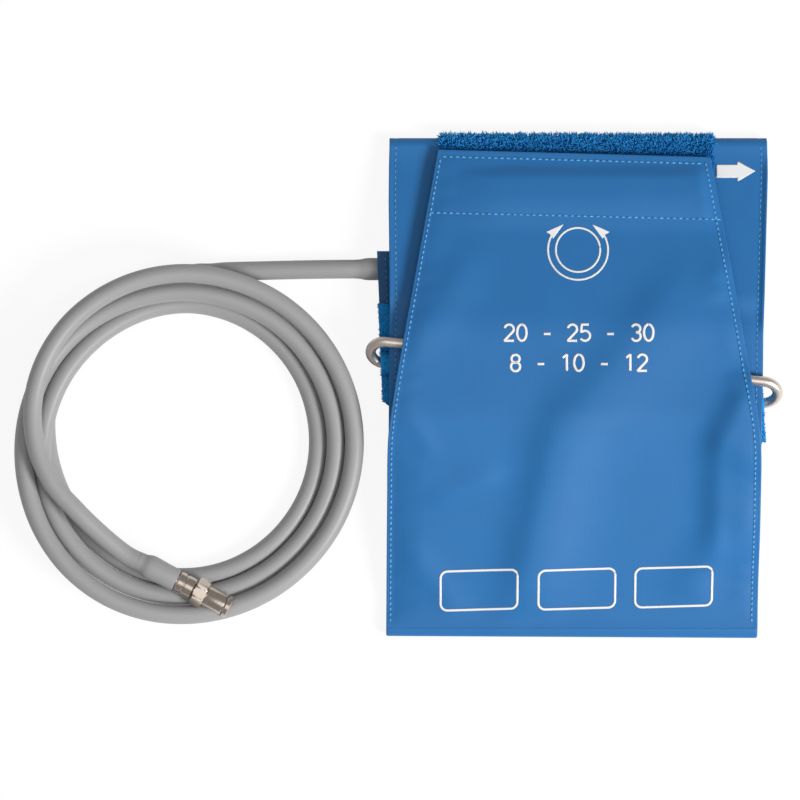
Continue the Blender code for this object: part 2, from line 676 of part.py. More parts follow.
def add_hose(finishes):
    grey = finishes["hose_rubber"]
    place = Matrix.Translation((0, PORT_Y, PORT_AXIS_Z))
    bore = NIPPLE_RADIUS + HOSE_WALL_CLEARANCE
    outer = SLEEVE_DIAMETER / 2
    left = SLEEVE_MOUTH_X - SLEEVE_LENGTH
    taper = outer - HOSE_RADIUS
    turned(
        "hose_sleeve",
        ((left, bore), (left, HOSE_RADIUS), (left + 2 * taper, outer), (SLEEVE_MOUTH_X, outer),
         (SLEEVE_MOUTH_X, bore)),
        grey, place, steps=24,
    )
    coil = coil_points()
    straight = coil[0] + np.array((HOSE, 0, 0))
    run_out = coil[-1] - np.array(coupling_direction()) * HOSE
    coil = np.vstack((straight, coil[:-1], run_out, coil[-1:]))
    lead = [(left - FIT, PORT_Y, PORT_AXIS_Z), *LEAD_POINTS, straight + np.array((FIT, 0, 0))]
    tube("hose_lead", through(lead, 2 * HOSE), HOSE, grey, 3)
    tube("hose_coil", coil, HOSE, grey, 1)
    gap = least_gap(coil, HOSE)
    print(f"hose_coil least gap to itself {gap / MM:.2f} mm")
    if gap < LEAST_SELF_GAP:
        print("hose_coil turns lie too close")


def add_coupling(finishes):
    metal = finishes["nickel"]
    origin = coupling_start() + coupling_direction() * FIT
    place = Matrix.Translation(origin) @ Matrix.Rotation(COUPLING_AXIS_ANGLE, 4, "Z")
    hose_end = HOSE_END_LENGTH
    bore = STEM_RADIUS + HOSE_WALL_CLEARANCE
    barb_bore = BARB_RADIUS + HOSE_WALL_CLEARANCE
    barb_start = hose_end - STEM_IN_HOSE
    barb_end = barb_start + BARB_LENGTH
    outer = HOSE_END_DIAMETER / 2
    core = HOSE_RADIUS * 1e-3
    turned(
        "hose_end_sleeve",
        ((0, core), (0, HOSE_RADIUS), (HOSE_END_DIAMETER / 2, outer), (hose_end, outer), (hose_end, bore),
         (barb_end + FIT, bore), (barb_end + FIT, barb_bore), (barb_start - FIT, barb_bore),
         (barb_start - FIT, core)),
        finishes["hose_rubber"], place,
    )
    collar = hose_end + FIT
    collar_end = collar + COLLAR_LENGTH
    chamfer = FIT * 2
    turned(
        "rear_collar",
        ((collar, bore), (collar, COLLAR_DIAMETER / 2 - chamfer), (collar + chamfer, COLLAR_DIAMETER / 2),
         (collar_end - chamfer, COLLAR_DIAMETER / 2), (collar_end, COLLAR_DIAMETER / 2 - chamfer),
         (collar_end, bore)),
        metal, place,
    )
    nut = collar_end + FIT
    hex_end = nut + HEX_LENGTH
    barrel_end = hex_end + BARREL_LENGTH
    nut_bore = STEM_RADIUS + RUNNING_FIT
    seat = nut + HEX_LENGTH / 2
    flange = seat + FIT
    flange_end = flange + FLANGE_LENGTH
    turned(
        "connector_stem",
        ((barb_start, STEM_BORE_RADIUS), (barb_start, STEM_RADIUS), (barb_end, BARB_RADIUS),
         (barb_end, STEM_RADIUS), (flange, STEM_RADIUS), (flange, FLANGE_RADIUS), (flange_end, FLANGE_RADIUS),
         (flange_end, STEM_BORE_RADIUS)),
        metal, place,
    )
    nut_object = turned(
        "coupling_nut",
        ((nut + FIT, nut_bore), (nut + FIT, BARREL_DIAMETER / 2), (barrel_end, BARREL_DIAMETER / 2),
         (barrel_end, BARREL_BORE_RADIUS), (seat, BARREL_BORE_RADIUS), (seat, nut_bore)),
        metal, place,
    )
    corner = HEX_ACROSS_FLATS / math.sqrt(3)
    inside = (BARREL_BORE_RADIUS + BARREL_DIAMETER / 2) / 2
    hexagon = turned(
        "nut_hexagon", ((nut, inside), (nut, corner), (hex_end, corner), (hex_end, inside)), metal, place,
        sides=6,
    )
    sink = turned(
        "hexagon_sink", rod(nut - HEX_LENGTH, HEX_LENGTH + FIT, BARREL_BORE_RADIUS + FIT), metal, place,
    )
    boolean(nut_object, hexagon, "UNION")
    boolean(nut_object, sink, "DIFFERENCE")
    ring_start = barrel_end + FIT
    ring_end = ring_start + END_RING_LENGTH
    turned(
        "end_ring",
        ((ring_start, END_RING_BORE_RADIUS), (ring_start, END_RING_DIAMETER / 2),
         (ring_end - chamfer, END_RING_DIAMETER / 2), (ring_end, END_RING_DIAMETER / 2 - chamfer),
         (ring_end, END_RING_BORE_RADIUS)),
        metal, place,
    )
    seal_radius = SEAL_WIRE / 2
    seal_centre = flange_end + FIT + seal_radius
    seal_middle = FLANGE_RADIUS - seal_radius
    seal = [
        (seal_centre + seal_radius * math.cos(a), seal_middle + seal_radius * math.sin(a))
        for a in np.linspace(0, 2 * math.pi, 11)[:-1]
    ]
    turned("seal_ring", seal, finishes["seal_rubber"], place, steps=24)


def main():
    clear_scene()
    finishes = {
        "coated_cloth": material("coated_cloth", (0.027, 0.159, 0.445), 0.62),
        "lining_cloth": material("lining_cloth", (0.022, 0.12, 0.34), 0.7),
        "pile_cloth": material("pile_cloth", (0.005, 0.122, 0.429), 0.9),
        "hook_tape": material("hook_tape", (0.02, 0.11, 0.33), 0.7),
        "bladder_film": material("bladder_film", (0.05, 0.05, 0.055), 0.45),
        "port_plastic": material("port_plastic", (0.3, 0.3, 0.31), 0.4),
        "hose_rubber": material("hose_rubber", (0.3, 0.3, 0.31), 0.45),
        "plated_wire": material("plated_wire", (0.6, 0.56, 0.52), 0.22, 1.0),
        "nickel": material("nickel", (0.62, 0.57, 0.52), 0.28, 1.0),
        "seal_rubber": material("seal_rubber", (0.02, 0.02, 0.02), 0.6),
    }
    add_band(finishes)
    add_port(finishes)
    add_ring_end(finishes)
    add_ring(finishes)
    add_fastening(finishes)
    add_flap(finishes)
    add_hose(finishes)
    add_coupling(finishes)


main()
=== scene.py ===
import math

import bpy
import numpy as np
from mathutils import Matrix, Vector


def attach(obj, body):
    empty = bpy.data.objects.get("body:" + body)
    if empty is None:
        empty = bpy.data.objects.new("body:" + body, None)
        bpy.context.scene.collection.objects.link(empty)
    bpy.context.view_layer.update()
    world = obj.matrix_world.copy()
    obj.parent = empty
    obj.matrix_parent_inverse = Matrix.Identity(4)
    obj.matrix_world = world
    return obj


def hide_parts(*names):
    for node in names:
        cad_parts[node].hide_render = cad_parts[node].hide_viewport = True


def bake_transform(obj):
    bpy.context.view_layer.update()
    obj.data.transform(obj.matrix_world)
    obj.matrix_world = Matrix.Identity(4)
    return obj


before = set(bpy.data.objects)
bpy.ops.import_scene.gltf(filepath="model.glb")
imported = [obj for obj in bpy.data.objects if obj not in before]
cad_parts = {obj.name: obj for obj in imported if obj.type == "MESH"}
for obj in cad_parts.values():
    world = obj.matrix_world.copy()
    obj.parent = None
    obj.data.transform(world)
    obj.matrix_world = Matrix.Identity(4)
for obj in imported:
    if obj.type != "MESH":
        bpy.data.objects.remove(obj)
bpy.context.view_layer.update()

MM = 0.001
RNG = np.random.default_rng(7)

# Plies and levels, as in the CAD
CLOTH = 0.6 * MM
LINING_MID = 0.3 * MM
SEAM_MID = 0.95 * MM
COVER_MID = 2.9 * MM
COVER_LOW_MID = 1.2 * MM
LOOP_NEAR = 3.5 * MM
HOOK_NEAR = 5.0 * MM
FLAP_NEAR = 6.3 * MM
FLAP_FACE_MID = 1.2 * MM
LINING_TOP = 3.2 * MM
LEAF_LEVEL = 17.1 * MM
LEAF_LOW = 0.3 * MM
FLAP_LEVEL = 23.4 * MM
FLAP_LOW = 4.2 * MM
LEVEL_TOP_Y = 22.26 * MM
LEVEL_BOTTOM_Y = -11.86 * MM
EASE = 8.0 * MM

# Band
FOLD_Y = 92.3 * MM
FOLD_Z = 3.6 * MM
FOLD_INNER = 0.4 * MM
FOLD_FLAT = 4.0 * MM
BOTTOM_Y = -93.4 * MM
BOTTOM_Z = 3.0 * MM
BOTTOM_FLAT = 7.0 * MM
BOTTOM_RADIUS = 1.95 * MM
BACK_END_Y = -60.0 * MM
BLADDER_END_Y = 34.7 * MM
COVER_STEP = 9.0 * MM
PORT_Y = 45.2 * MM
NOTCH_DEPTH = 29.5 * MM
NOTCH_HALF = 7.4 * MM
SEW_INSET = 2.5 * MM
RIM_UP_LEFT = 0.3 * MM
RIM_UP_RIGHT = 1.2 * MM

# Guard panel and strap
GUARD_TOP_Y = 52 * MM
GUARD_BOTTOM_Y = -60 * MM
GUARD_Z = 9.9 * MM
GUARD_LOW_Z = 4.0 * MM
STRAP_ABOVE = 23 * MM
STRAP_BELOW = 15 * MM
STRAP_Z = 11.2 * MM
STRAP_ARCH = 3.6 * MM
STRAP_FOOT = 25
THICK_HALF = 0.5 * MM

# Flap
FLAP_TOP_Y = 92.0 * MM
FLAP_SAG = 0.9 * MM
FLAP_TIP_Y = 89.6 * MM
FLAP_HALF = 71.8 * MM
FLAP_TIP_HALF = 52.5 * MM
FLAP_SHOULDER_Y = -19.0 * MM
FLAP_SHOULDER_ROUND = 9.0 * MM
TIP_SEW_INSET = 2.7 * MM
HEM_LEFT = (-56.8 * MM, 66.6 * MM)
HEM_SLANT = -1 / 42

# Ring
WIRE = 4.0 * MM
RING_LENGTH = 161.0 * MM
RING_AT = np.array((-0.4, 1.1, 12.7)) * MM
RING_STEP = np.array((8.2, 8.2)) * MM
RING_TILT = math.radians(6.0)

# Hose and coupling
HOSE = 7.25 * MM
COUPLING_ANGLE = math.radians(-27.3)
COUPLING_Z = 13.2 * MM


def smooth(edge0, edge1, value):
    """0 at edge0, 1 at edge1, with no corner at either."""
    t = np.clip((value - edge0) / (edge1 - edge0), 0, 1)
    return t * t * (3 - 2 * t)


def unit(vectors):
    """Vectors of the same directions, one long."""
    return vectors / np.maximum(np.linalg.norm(vectors, axis=-1, keepdims=True), 1e-12)


def steps_along(line):
    """Distance from each point of a line to the next."""
    return np.linalg.norm(np.diff(line, axis=0), axis=1)


def point_grid(x, y, z):
    """Points from three coordinates that are spread to one shape."""
    return np.stack(np.broadcast_arrays(x, y, z), axis=-1)


# Surfaces

def add_mesh(name, points, quads, finish, tris=None, body="cuff"):
    """A mesh piece with this finish, riding on a body if one is named."""
    faces = [tuple(f) for f in np.asarray(quads).reshape(-1, 4).tolist()]
    if tris is not None:
        faces += [tuple(f) for f in np.asarray(tris).reshape(-1, 3).tolist()]
    mesh = bpy.data.meshes.new(name)
    mesh.from_pydata(np.asarray(points).reshape(-1, 3).tolist(), [], faces)
    mesh.shade_smooth()
    mesh.materials.append(finish)
    made = bpy.data.objects.new(name, mesh)
    bpy.context.scene.collection.objects.link(made)
    if body:
        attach(made, body)
    return made


def grid_faces(index):
    """Quads between neighbours of a two-parameter grid of vertex numbers."""
    corners = (index[:-1, :-1], index[:-1, 1:], index[1:, 1:], index[1:, :-1])
    return np.stack(corners, axis=-1).reshape(-1, 4)


def grid_normals(grid):
    """Unit normals of a grid: the first parameter's step crossed with the second's."""
    along = np.gradient(grid, axis=0)
    across = np.gradient(grid, axis=1)
    return unit(np.cross(along, across))


def stations(length, edge, step):
    """Distances from 0 to length: close together within edge of both ends, step apart between."""
    near = edge * (1 - np.cos(np.linspace(0, np.pi / 2, 6)))
    middle = np.linspace(edge, length - edge, max(3, int(round((length - 2 * edge) / step)) + 1))
    return np.concatenate((near[:-1], middle, length - near[:-1][::-1]))


def edge_round(distance, edge):
    """Share of the full thickness this far inside an edge: a quarter circle."""
    inside = np.clip(distance / edge, 0, 1)
    return np.sqrt(1 - (1 - inside) ** 2)


def shell(middle, half, normal):
    """A sheet with two faces: the middle surface moved out and in along the normal by half the thickness,
    which falls to nothing at the border, where both faces share their vertices."""
    rows, columns = middle.shape[:2]
    top = middle + normal * half[..., None]
    under = middle - normal * half[..., None]
    over_index = np.arange(rows * columns).reshape(rows, columns)
    under_index = over_index.copy()
    inner = (rows - 2) * (columns - 2)
    under_index[1:-1, 1:-1] = rows * columns + np.arange(inner).reshape(rows - 2, columns - 2)
    points = np.vstack((top.reshape(-1, 3), under[1:-1, 1:-1].reshape(-1, 3)))
    quads = np.vstack((grid_faces(over_index)[:, ::-1], grid_faces(under_index)))
    return points, quads, top


def cloth(name, middle, half, finish, body="cuff"):
    """One ply of cloth as a mesh, and the grid of its outer face."""
    half = np.broadcast_to(half, middle.shape[:2]).copy()
    half[(0, -1), :] = 0
    half[:, (0, -1)] = 0
    points, quads, top = shell(middle, half, grid_normals(middle))
    return add_mesh(name, points, quads, finish, body=body), top


def joined(parts):
    """Several pieces' (points, quads) as one mesh's."""
    start = np.cumsum([0] + [len(points) for points, _ in parts[:-1]])
    return np.vstack([p for p, _ in parts]), np.vstack([q + s for (_, q), s in zip(parts, start)])


def turned(name, outline, finish, place, steps=64, sides=0, body="cuff"):
    """An outline in millimetres, of (distance along the axis, radius), turned about the axis and closed on
    its own start. With sides, the radius is held to that many flats."""
    outline = np.array(outline) * MM
    angle = np.linspace(0, 2 * np.pi, steps, endpoint=False)[:, None]
    radius = np.tile(outline[:, 1], (steps, 1))
    if sides:
        sector = 2 * np.pi / sides
        flat = np.cos(sector / 2) / np.cos((angle % sector) - sector / 2)
        radius = np.minimum(radius, outline[:, 1].max() * flat)
    local = point_grid(outline[:, 0], radius * np.cos(angle), radius * np.sin(angle))
    points = local.reshape(-1, 3) @ np.array(place.to_3x3()).T + np.array(place.translation)
    index = np.arange(radius.size).reshape(radius.shape)
    index = np.vstack((index, index[:1]))
    index = np.hstack((index, index[:, :1]))
    made = add_mesh(name, points, grid_faces(index), finish, body=body)
    made.data.set_sharp_from_angle(angle=math.radians(32))
    return made


def tube(name, path, radius, finish, sides=32, closed=False, body="cuff"):
    """A circle of the radius carried along the path, its ends closed. A closed path is a flat ring."""
    if closed:
        tangent = unit(np.roll(path, -1, axis=0) - np.roll(path, 1, axis=0))
        spokes = path - path.mean(axis=0)
        up = np.broadcast_to(unit(np.cross(spokes[0], spokes[len(path) // 5])), path.shape)
        side = np.cross(tangent, up)
    else:
        tangent = unit(np.gradient(path, axis=0))
        side = unit(np.cross(tangent, (0.0, 0.0, 1.0)))
        up = np.cross(side, tangent)
    angle = np.linspace(0, 2 * np.pi, sides, endpoint=False)
    spoke = np.cos(angle)[None, :, None] * side[:, None] + np.sin(angle)[None, :, None] * up[:, None]
    points = path[:, None] + spoke * radius
    index = np.arange(len(path) * sides).reshape(len(path), sides)
    index = np.hstack((index, index[:, :1]))
    if closed:
        return add_mesh(name, points, grid_faces(np.vstack((index, index[:1])))[:, ::-1], finish, body=body)
    points = np.vstack((points.reshape(-1, 3), path[:1], path[-1:]))
    first = len(points) - 2
    ends = [(index[0, :-1], index[0, 1:], first), (index[-1, 1:], index[-1, :-1], first + 1)]
    tris = np.vstack([np.column_stack((a, b, np.full(sides, c))) for a, b, c in ends])
    made = add_mesh(name, points, grid_faces(index)[:, ::-1], finish, tris, body=body)
    made.data.set_sharp_from_angle(angle=math.radians(60))
    return made


# Lines that the cloth follows

def eased_line(corners, reach):
    """Heights along y through the corners, averaged over this reach both ways so that no bend is sharp."""
    step = 0.25 * MM
    ys, zs = np.array(corners)[::-1].T
    fine = np.arange(ys[0] - 2 * reach, ys[-1] + 2 * reach, step)
    slope_low = (zs[1] - zs[0]) / (ys[1] - ys[0])
    slope_high = (zs[-1] - zs[-2]) / (ys[-1] - ys[-2])
    line = np.interp(fine, ys, zs)
    line += np.minimum(fine - ys[0], 0) * slope_low + np.maximum(fine - ys[-1], 0) * slope_high
    count = int(reach / step)
    weights = np.hanning(2 * count + 1)
    eased = np.convolve(line, weights / weights.sum(), mode="valid")
    return lambda y: np.interp(y, fine[count:-count], eased)


def edge_through(*points):
    """One coordinate of an edge by the other: straight runs between points given in millimetres."""
    at, edge = np.array(points).T * MM
    return lambda value: np.interp(value, at, edge)


FOLD_TOP = FOLD_Z + FOLD_INNER
LEAF_FALL = (FOLD_TOP - LEAF_LEVEL) / (FOLD_Y - FOLD_FLAT - LEVEL_TOP_Y)
leaf_z = eased_line((
    (FOLD_Y, FOLD_TOP), (FOLD_Y - FOLD_FLAT, FOLD_TOP), (LEVEL_TOP_Y, LEAF_LEVEL),
    (LEVEL_BOTTOM_Y, LEAF_LEVEL), (BOTTOM_Y + BOTTOM_FLAT, LEAF_LOW), (BOTTOM_Y + 0.3 * MM, LEAF_LOW),
), EASE)
flap_z = eased_line((
    (FLAP_TOP_Y, leaf_z(FLAP_TOP_Y) + FLAP_NEAR * math.hypot(1, LEAF_FALL) - FLAP_SAG),
    (LEVEL_TOP_Y + 0.6 * MM, FLAP_LEVEL), (LEVEL_BOTTOM_Y, FLAP_LEVEL),
    (BOTTOM_Y + BOTTOM_FLAT, FLAP_LOW), (BOTTOM_Y + 0.3 * MM, FLAP_LOW),
), EASE)
guard_z = eased_line((
    (GUARD_TOP_Y, GUARD_Z), (-12 * MM, GUARD_Z), (-48 * MM, GUARD_LOW_Z), (GUARD_BOTTOM_Y, GUARD_LOW_Z),
), 6 * MM)
cuff_left = edge_through((-96.1, -71.8), (30, -70.8), (45, -70.9), (70, -71.2), (84, -71.1), (95.9, -70.8))
cuff_right = edge_through(
    (-96.1, 71.0), (8, 72.5), (20, 72.6), (37, 73.2), (65.5, 74.4), (80, 75.0), (87, 75.1), (95.9, 74.9),
)
guard_left = edge_through((-8.5, -69), (-6.5, -73.2), (52, -75.7))
guard_right = edge_through((-24.5, 69), (-22.5, 73.5), (52, 70.4))
flap_centre = edge_through((-96.1, -0.4), (-40, -0.1), (5, -0.45), (89.6, 0.05))
tip_y = edge_through((-51.2, 91.05), (52.6, 88.2))


def hem_y(x):
    """The straight, slanted stitch line across the flap's tip."""
    return HEM_LEFT[1] + (x - HEM_LEFT[0]) * HEM_SLANT


def flap_half(y):
    """Half the flap's width: the lesser of the full half width and the straight taper to the tip, with a
    rounded shoulder between them."""
    slope = (FLAP_HALF - FLAP_TIP_HALF) / (FLAP_TIP_Y - FLAP_SHOULDER_Y)
    taper = FLAP_HALF + (FLAP_SHOULDER_Y - y) * slope
    return (taper + FLAP_HALF - np.hypot(taper - FLAP_HALF, slope * FLAP_SHOULDER_ROUND)) / 2


def flap_x(span, y):
    """The x at this share of the flap's width, from 0 at the left to 1."""
    return flap_centre(y) + flap_half(y) * (2 * span - 1)


def flap_inside(x, y):
    """Distance inside the flap's nearer side edge."""
    return flap_half(y) - np.abs(x - flap_centre(y))


# Finishes

COLOUR_A = 6
COLOUR_B = 7
COLOUR_OUT = 2
SHADER = "Principled BSDF"


def put(node, **inputs):
    """Sets a node's inputs by their names."""
    for key, value in inputs.items():
        node.inputs[key.replace("_", " ")].default_value = value
    return node


def node(tree, kind, **inputs):
    """A new shader node of this kind with these inputs."""
    return put(tree.nodes.new("ShaderNode" + kind), **inputs)


def link(tree, source, socket, target, name):
    tree.links.new(source.outputs[socket], target.inputs[name])


def finish(name, colour, roughness, metallic=0.0, shine=0.5):
    """A plain finish of one colour."""
    made = bpy.data.materials.new(name)
    made.use_nodes = True
    shader = put(made.node_tree.nodes[SHADER], Base_Color=(*colour, 1.0), Roughness=roughness)
    put(shader, Metallic=metallic, Specular_IOR_Level=shine)
    return made


def cloth_grain():
    """Node group: the threads' crossing bands as a height, and a slow unevenness of tone around 1."""
    group = bpy.data.node_groups.new("cloth grain", "ShaderNodeTree")
    for name, way in (("Threads", "INPUT"), ("Height", "OUTPUT"), ("Tone", "OUTPUT")):
        group.interface.new_socket(name, in_out=way, socket_type="NodeSocketFloat")
    given = group.nodes.new("NodeGroupInput")
    out = group.nodes.new("NodeGroupOutput")
    place = node(group, "TexCoord")
    crossed = node(group, "Math")
    crossed.operation = "MULTIPLY"
    for number, direction in enumerate(("X", "Y")):
        wave = node(group, "TexWave", Distortion=1.5, Detail=1.0, Detail_Scale=0.4)
        wave.bands_direction = direction
        link(group, place, "Object", wave, "Vector")
        link(group, given, "Threads", wave, "Scale")
        link(group, wave, "Fac", crossed, number)
    uneven = node(group, "TexNoise", Scale=55.0, Detail=3.0)
    link(group, place, "Object", uneven, "Vector")
    tone = node(group, "MapRange", To_Min=0.93, To_Max=1.07)
    link(group, uneven, "Fac", tone, "Value")
    link(group, crossed, "Value", out, "Height")
    link(group, tone, "Result", out, "Tone")
    return group


GRAIN = cloth_grain()


def bumped(tree, source, socket, depth):
    """Gives a finish a fine relief from a node's height."""
    bump = node(tree, "Bump", Strength=depth, Distance=0.1 * MM)
    link(tree, source, socket, bump, "Height")
    link(tree, bump, "Normal", tree.nodes[SHADER], "Normal")


def colour_mix(tree, colour):
    """A node that mixes a second colour into this one and gives the result to the finish."""
    mix = node(tree, "Mix")
    mix.data_type = "RGBA"
    mix.inputs[COLOUR_A].default_value = (*colour, 1.0)
    link(tree, mix, COLOUR_OUT, tree.nodes[SHADER], "Base Color")
    return mix


def woven(name, colour, roughness, threads, depth, shine=0.5):
    """A cloth finish with thread relief and slightly uneven colour."""
    made = finish(name, colour, roughness, shine=shine)
    tree = made.node_tree
    grain = node(tree, "Group")
    grain.node_tree = GRAIN
    put(grain, Threads=threads)
    bumped(tree, grain, "Height", depth)
    dye = put(colour_mix(tree, colour), Factor=1.0)
    dye.blend_type = "MULTIPLY"
    link(tree, grain, "Tone", dye, COLOUR_B)
    return made


def piled(name, dark, bright, roughness):
    """A fibre finish that goes from dark to bright by the mesh's tone attribute, which carries painted shadow
    and painted light as well as a random tone.
    """
    made = finish(name, dark, roughness, shine=0.15)
    tree = made.node_tree
    tone = node(tree, "Attribute")
    tone.attribute_name = "tone"
    dye = colour_mix(tree, dark)
    dye.inputs[COLOUR_B].default_value = (*bright, 1.0)
    link(tree, tone, "Fac", dye, "Factor")
    return made


def grained(name, colour, roughness, grain, depth):
    """A metal finish with a fine uneven surface."""
    made = finish(name, colour, roughness, 1.0)
    tree = made.node_tree
    place = node(tree, "TexCoord")
    noise = node(tree, "TexNoise", Scale=grain, Detail=3.0)
    link(tree, place, "Object", noise, "Vector")
    bumped(tree, noise, "Fac", depth)
    return made


THREADS = 330.0
WEAVE = 0.2
coated = woven("coated cloth", (0.020, 0.161, 0.427), 0.52, THREADS, WEAVE, shine=0.32)
lining_finish = woven("lining cloth", (0.020, 0.12, 0.33), 0.65, THREADS, WEAVE)
dark_coated = woven("guard cloth", (0.016, 0.10, 0.25), 0.55, THREADS, WEAVE, shine=0.3)
pile_base = finish("pile backing", (0.003, 0.10, 0.33), 0.9, shine=0.15)
# The strap's backing is brighter than the loop patch's: partly its own cloth, partly painted light that makes
# up for the shadow the cuff and ring cast on it.
strap_base_painted_light = finish("strap backing painted light", (0.016, 0.30, 0.70), 0.9, shine=0.15)
# The pile's dark colour serves the painted shadow at the tufts' roots and below the flap's tip.
pile_finish = piled("loop pile", (0.004, 0.13, 0.46), (0.055, 0.50, 1.0), 0.9)
hook_finish = woven("hook tape", (0.02, 0.10, 0.30), 0.6, 500.0, 1.0)
# The thread's dark colour is painted shadow, used at the stitches' ends.
thread = piled("sewing thread", (0.008, 0.05, 0.14), (0.17, 0.54, 1.0), 0.6)
ink = finish("white print", (0.86, 0.87, 0.88), 0.55)
rubber = finish("hose rubber", (0.36, 0.36, 0.36), 0.44, shine=0.42)
wire = finish("plated wire", (0.79, 0.70, 0.63), 0.40, 1.0)
nickel = grained("nickel plate", (0.58, 0.50, 0.43), 0.26, 1600.0, 0.4)


# Band: outer cloth and lining, sewn together at the sides, folded at the top

BACK, FOLD, FRONT = 0, 0.5, 1


def fold_arc(start, count):
    """Points in y and z on the top fold's inner circle, from this angle to straight up, and their spokes."""
    turn = np.radians(np.linspace(start, 90, count))
    spoke = np.column_stack((np.cos(turn), np.sin(turn)))
    return np.array((FOLD_Y, FOLD_Z)) + FOLD_INNER * spoke, spoke


def leaf_run(y):
    """Points in y and z along the front leaf, and the outward direction at each."""
    path = np.column_stack((y, leaf_z(y)))
    slope = np.gradient(path[:, 1], path[:, 0])
    return path, np.column_stack((-slope, np.ones(len(y)))) / np.hypot(1, slope)[:, None]


def band_path(step):
    """The lining's inner face from the back leaf's end, round the top fold, to the bottom fold: points in y
    and z, the outward direction at each, and the part of the band it is on."""
    back_y = BACK_END_Y + stations(FOLD_Y - BACK_END_Y, 1.0 * MM, step)
    back = np.column_stack((back_y, np.full(len(back_y), LINING_TOP)))
    down = np.broadcast_to((0.0, -1.0), back.shape)
    fold, round_fold = (a[1:-1] for a in fold_arc(-90, 25))
    front, up = leaf_run(FOLD_Y - stations(FOLD_Y - BOTTOM_Y - 0.05 * MM, 1.0 * MM, step))
    part = np.repeat((BACK, FOLD, FRONT), (len(back), len(fold), len(front)))
    return np.vstack((back, fold, front)), np.vstack((down, round_fold, up)), part


def cover_level(y, part):
    """The cover's middle: over the bladder to its end, then down a soft step to the lining."""
    sunk = (part == FRONT) * smooth(BLADDER_END_Y, BLADDER_END_Y - COVER_STEP, y)
    return COVER_MID - (COVER_MID - COVER_LOW_MID) * sunk


def lining_level(y, part):
    """The lining's middle: the same distance all along."""
    return LINING_MID


def seamed(x, y, part, left, right, full, seam):
    """Distance of a band ply from the lining's inner face: full in the middle, drawn to the seam at the
    sides. At the top fold and on the front leaf the seam lies at the cover's level. The front leaf's rim
    turns up outside the stitches, and a groove runs along them."""
    inside = np.minimum(x - left, right - x)
    in_front = part == FRONT
    at_fold = smooth(14 * MM, 1 * MM, FOLD_Y - y)
    lifted = np.maximum((COVER_MID - SEAM_MID) * at_fold, in_front * (cover_level(y, part) - SEAM_MID))
    side = seam + lifted
    offset = side + (full - side) * smooth(0.2 * MM, 2.2 * MM, inside)
    rim = np.where(x > 0, RIM_UP_RIGHT, RIM_UP_LEFT) * smooth(2.4 * MM, 0.2 * MM, inside)
    rim = rim * in_front * smooth(16 * MM, 28 * MM, y) * smooth(3 * MM, 12 * MM, FOLD_Y - y)
    groove = 0.12 * MM * np.exp(-((inside - SEW_INSET) / (0.7 * MM)) ** 2)
    return offset + rim - groove


def band_ply(name, level, seam, look, notch=False):
    """One ply of the band and its length: the path carried across between the cuff's edges and moved outward
    to the ply's level. With a notch, the back leaf is cut away round the hose's port."""
    path, spoke, part = band_path(1.5 * MM)
    part = part[:, None]
    span = stations(1.0, 0.006, 1 / 140)
    y = path[:, :1]
    left = cuff_left(y)
    if notch:
        gap = (part == BACK) * smooth(NOTCH_HALF, NOTCH_HALF - 1.0 * MM, np.abs(y - PORT_Y))
        left = left + NOTCH_DEPTH * gap
    right = cuff_right(y)
    x = left + (right - left) * span
    offset = seamed(x, y, part, left, right, level(y, part), seam)
    middle = point_grid(x, y + spoke[:, :1] * offset, path[:, 1:] + spoke[:, 1:] * offset)
    from_end = np.minimum(np.arange(len(path)), np.arange(len(path))[::-1])
    ends = edge_round(from_end, 5.0)[:, None]
    half = CLOTH / 2 * edge_round(np.minimum(x - left, right - x), 0.4 * MM) * ends
    made, _ = cloth(name, middle, half, look)
    near_middle = middle[:, 70]
    return made, float(steps_along(near_middle).sum())


cover, cover_length = band_ply("band_outer_cloth", cover_level, SEAM_MID, coated)
lining, lining_length = band_ply("band_lining_cloth", lining_level, LINING_MID, lining_finish, True)
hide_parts("band_cover")
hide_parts("band_lining")


# Guard panel and the pile strap that holds the ring

def guard_panel():
    """The guard panel: its line of heights carried across between its two side edges."""
    y = (GUARD_TOP_Y - stations(GUARD_TOP_Y - GUARD_BOTTOM_Y, 1.0 * MM, 2.0 * MM))[:, None]
    left = guard_left(y)
    right = guard_right(y)
    x = left + (right - left) * stations(1.0, 0.006, 1 / 70)
    from_side = np.minimum(x - left, right - x)
    from_end = np.minimum(GUARD_TOP_Y - y, y - GUARD_BOTTOM_Y)
    half = THICK_HALF * edge_round(np.minimum(from_side, from_end), THICK_HALF)
    return cloth("guard_panel", point_grid(x, y, guard_z(y)), half, dark_coated)[0]


guard = guard_panel()
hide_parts("ring_end_panel")


def strap_profile():
    """Distance from the bar's line and height: flat, over the bar in an arch, flat again."""
    turn = np.radians(np.linspace(STRAP_FOOT, 180 - STRAP_FOOT, 33))
    arch = np.column_stack((STRAP_ARCH * np.cos(turn), RING_AT[2] + STRAP_ARCH * np.sin(turn)))
    foot = arch[0, 0] + (arch[0, 1] - STRAP_Z) * math.tan(math.radians(STRAP_FOOT))
    before = STRAP_ABOVE - stations(STRAP_ABOVE - foot, 0.6 * MM, 1.5 * MM)[:-1]
    after = -foot - stations(STRAP_BELOW - foot, 0.6 * MM, 1.5 * MM)[1:]
    flats = [np.column_stack((run, np.full(len(run), STRAP_Z))) for run in (before, after)]
    return np.vstack((flats[0], arch, flats[1]))


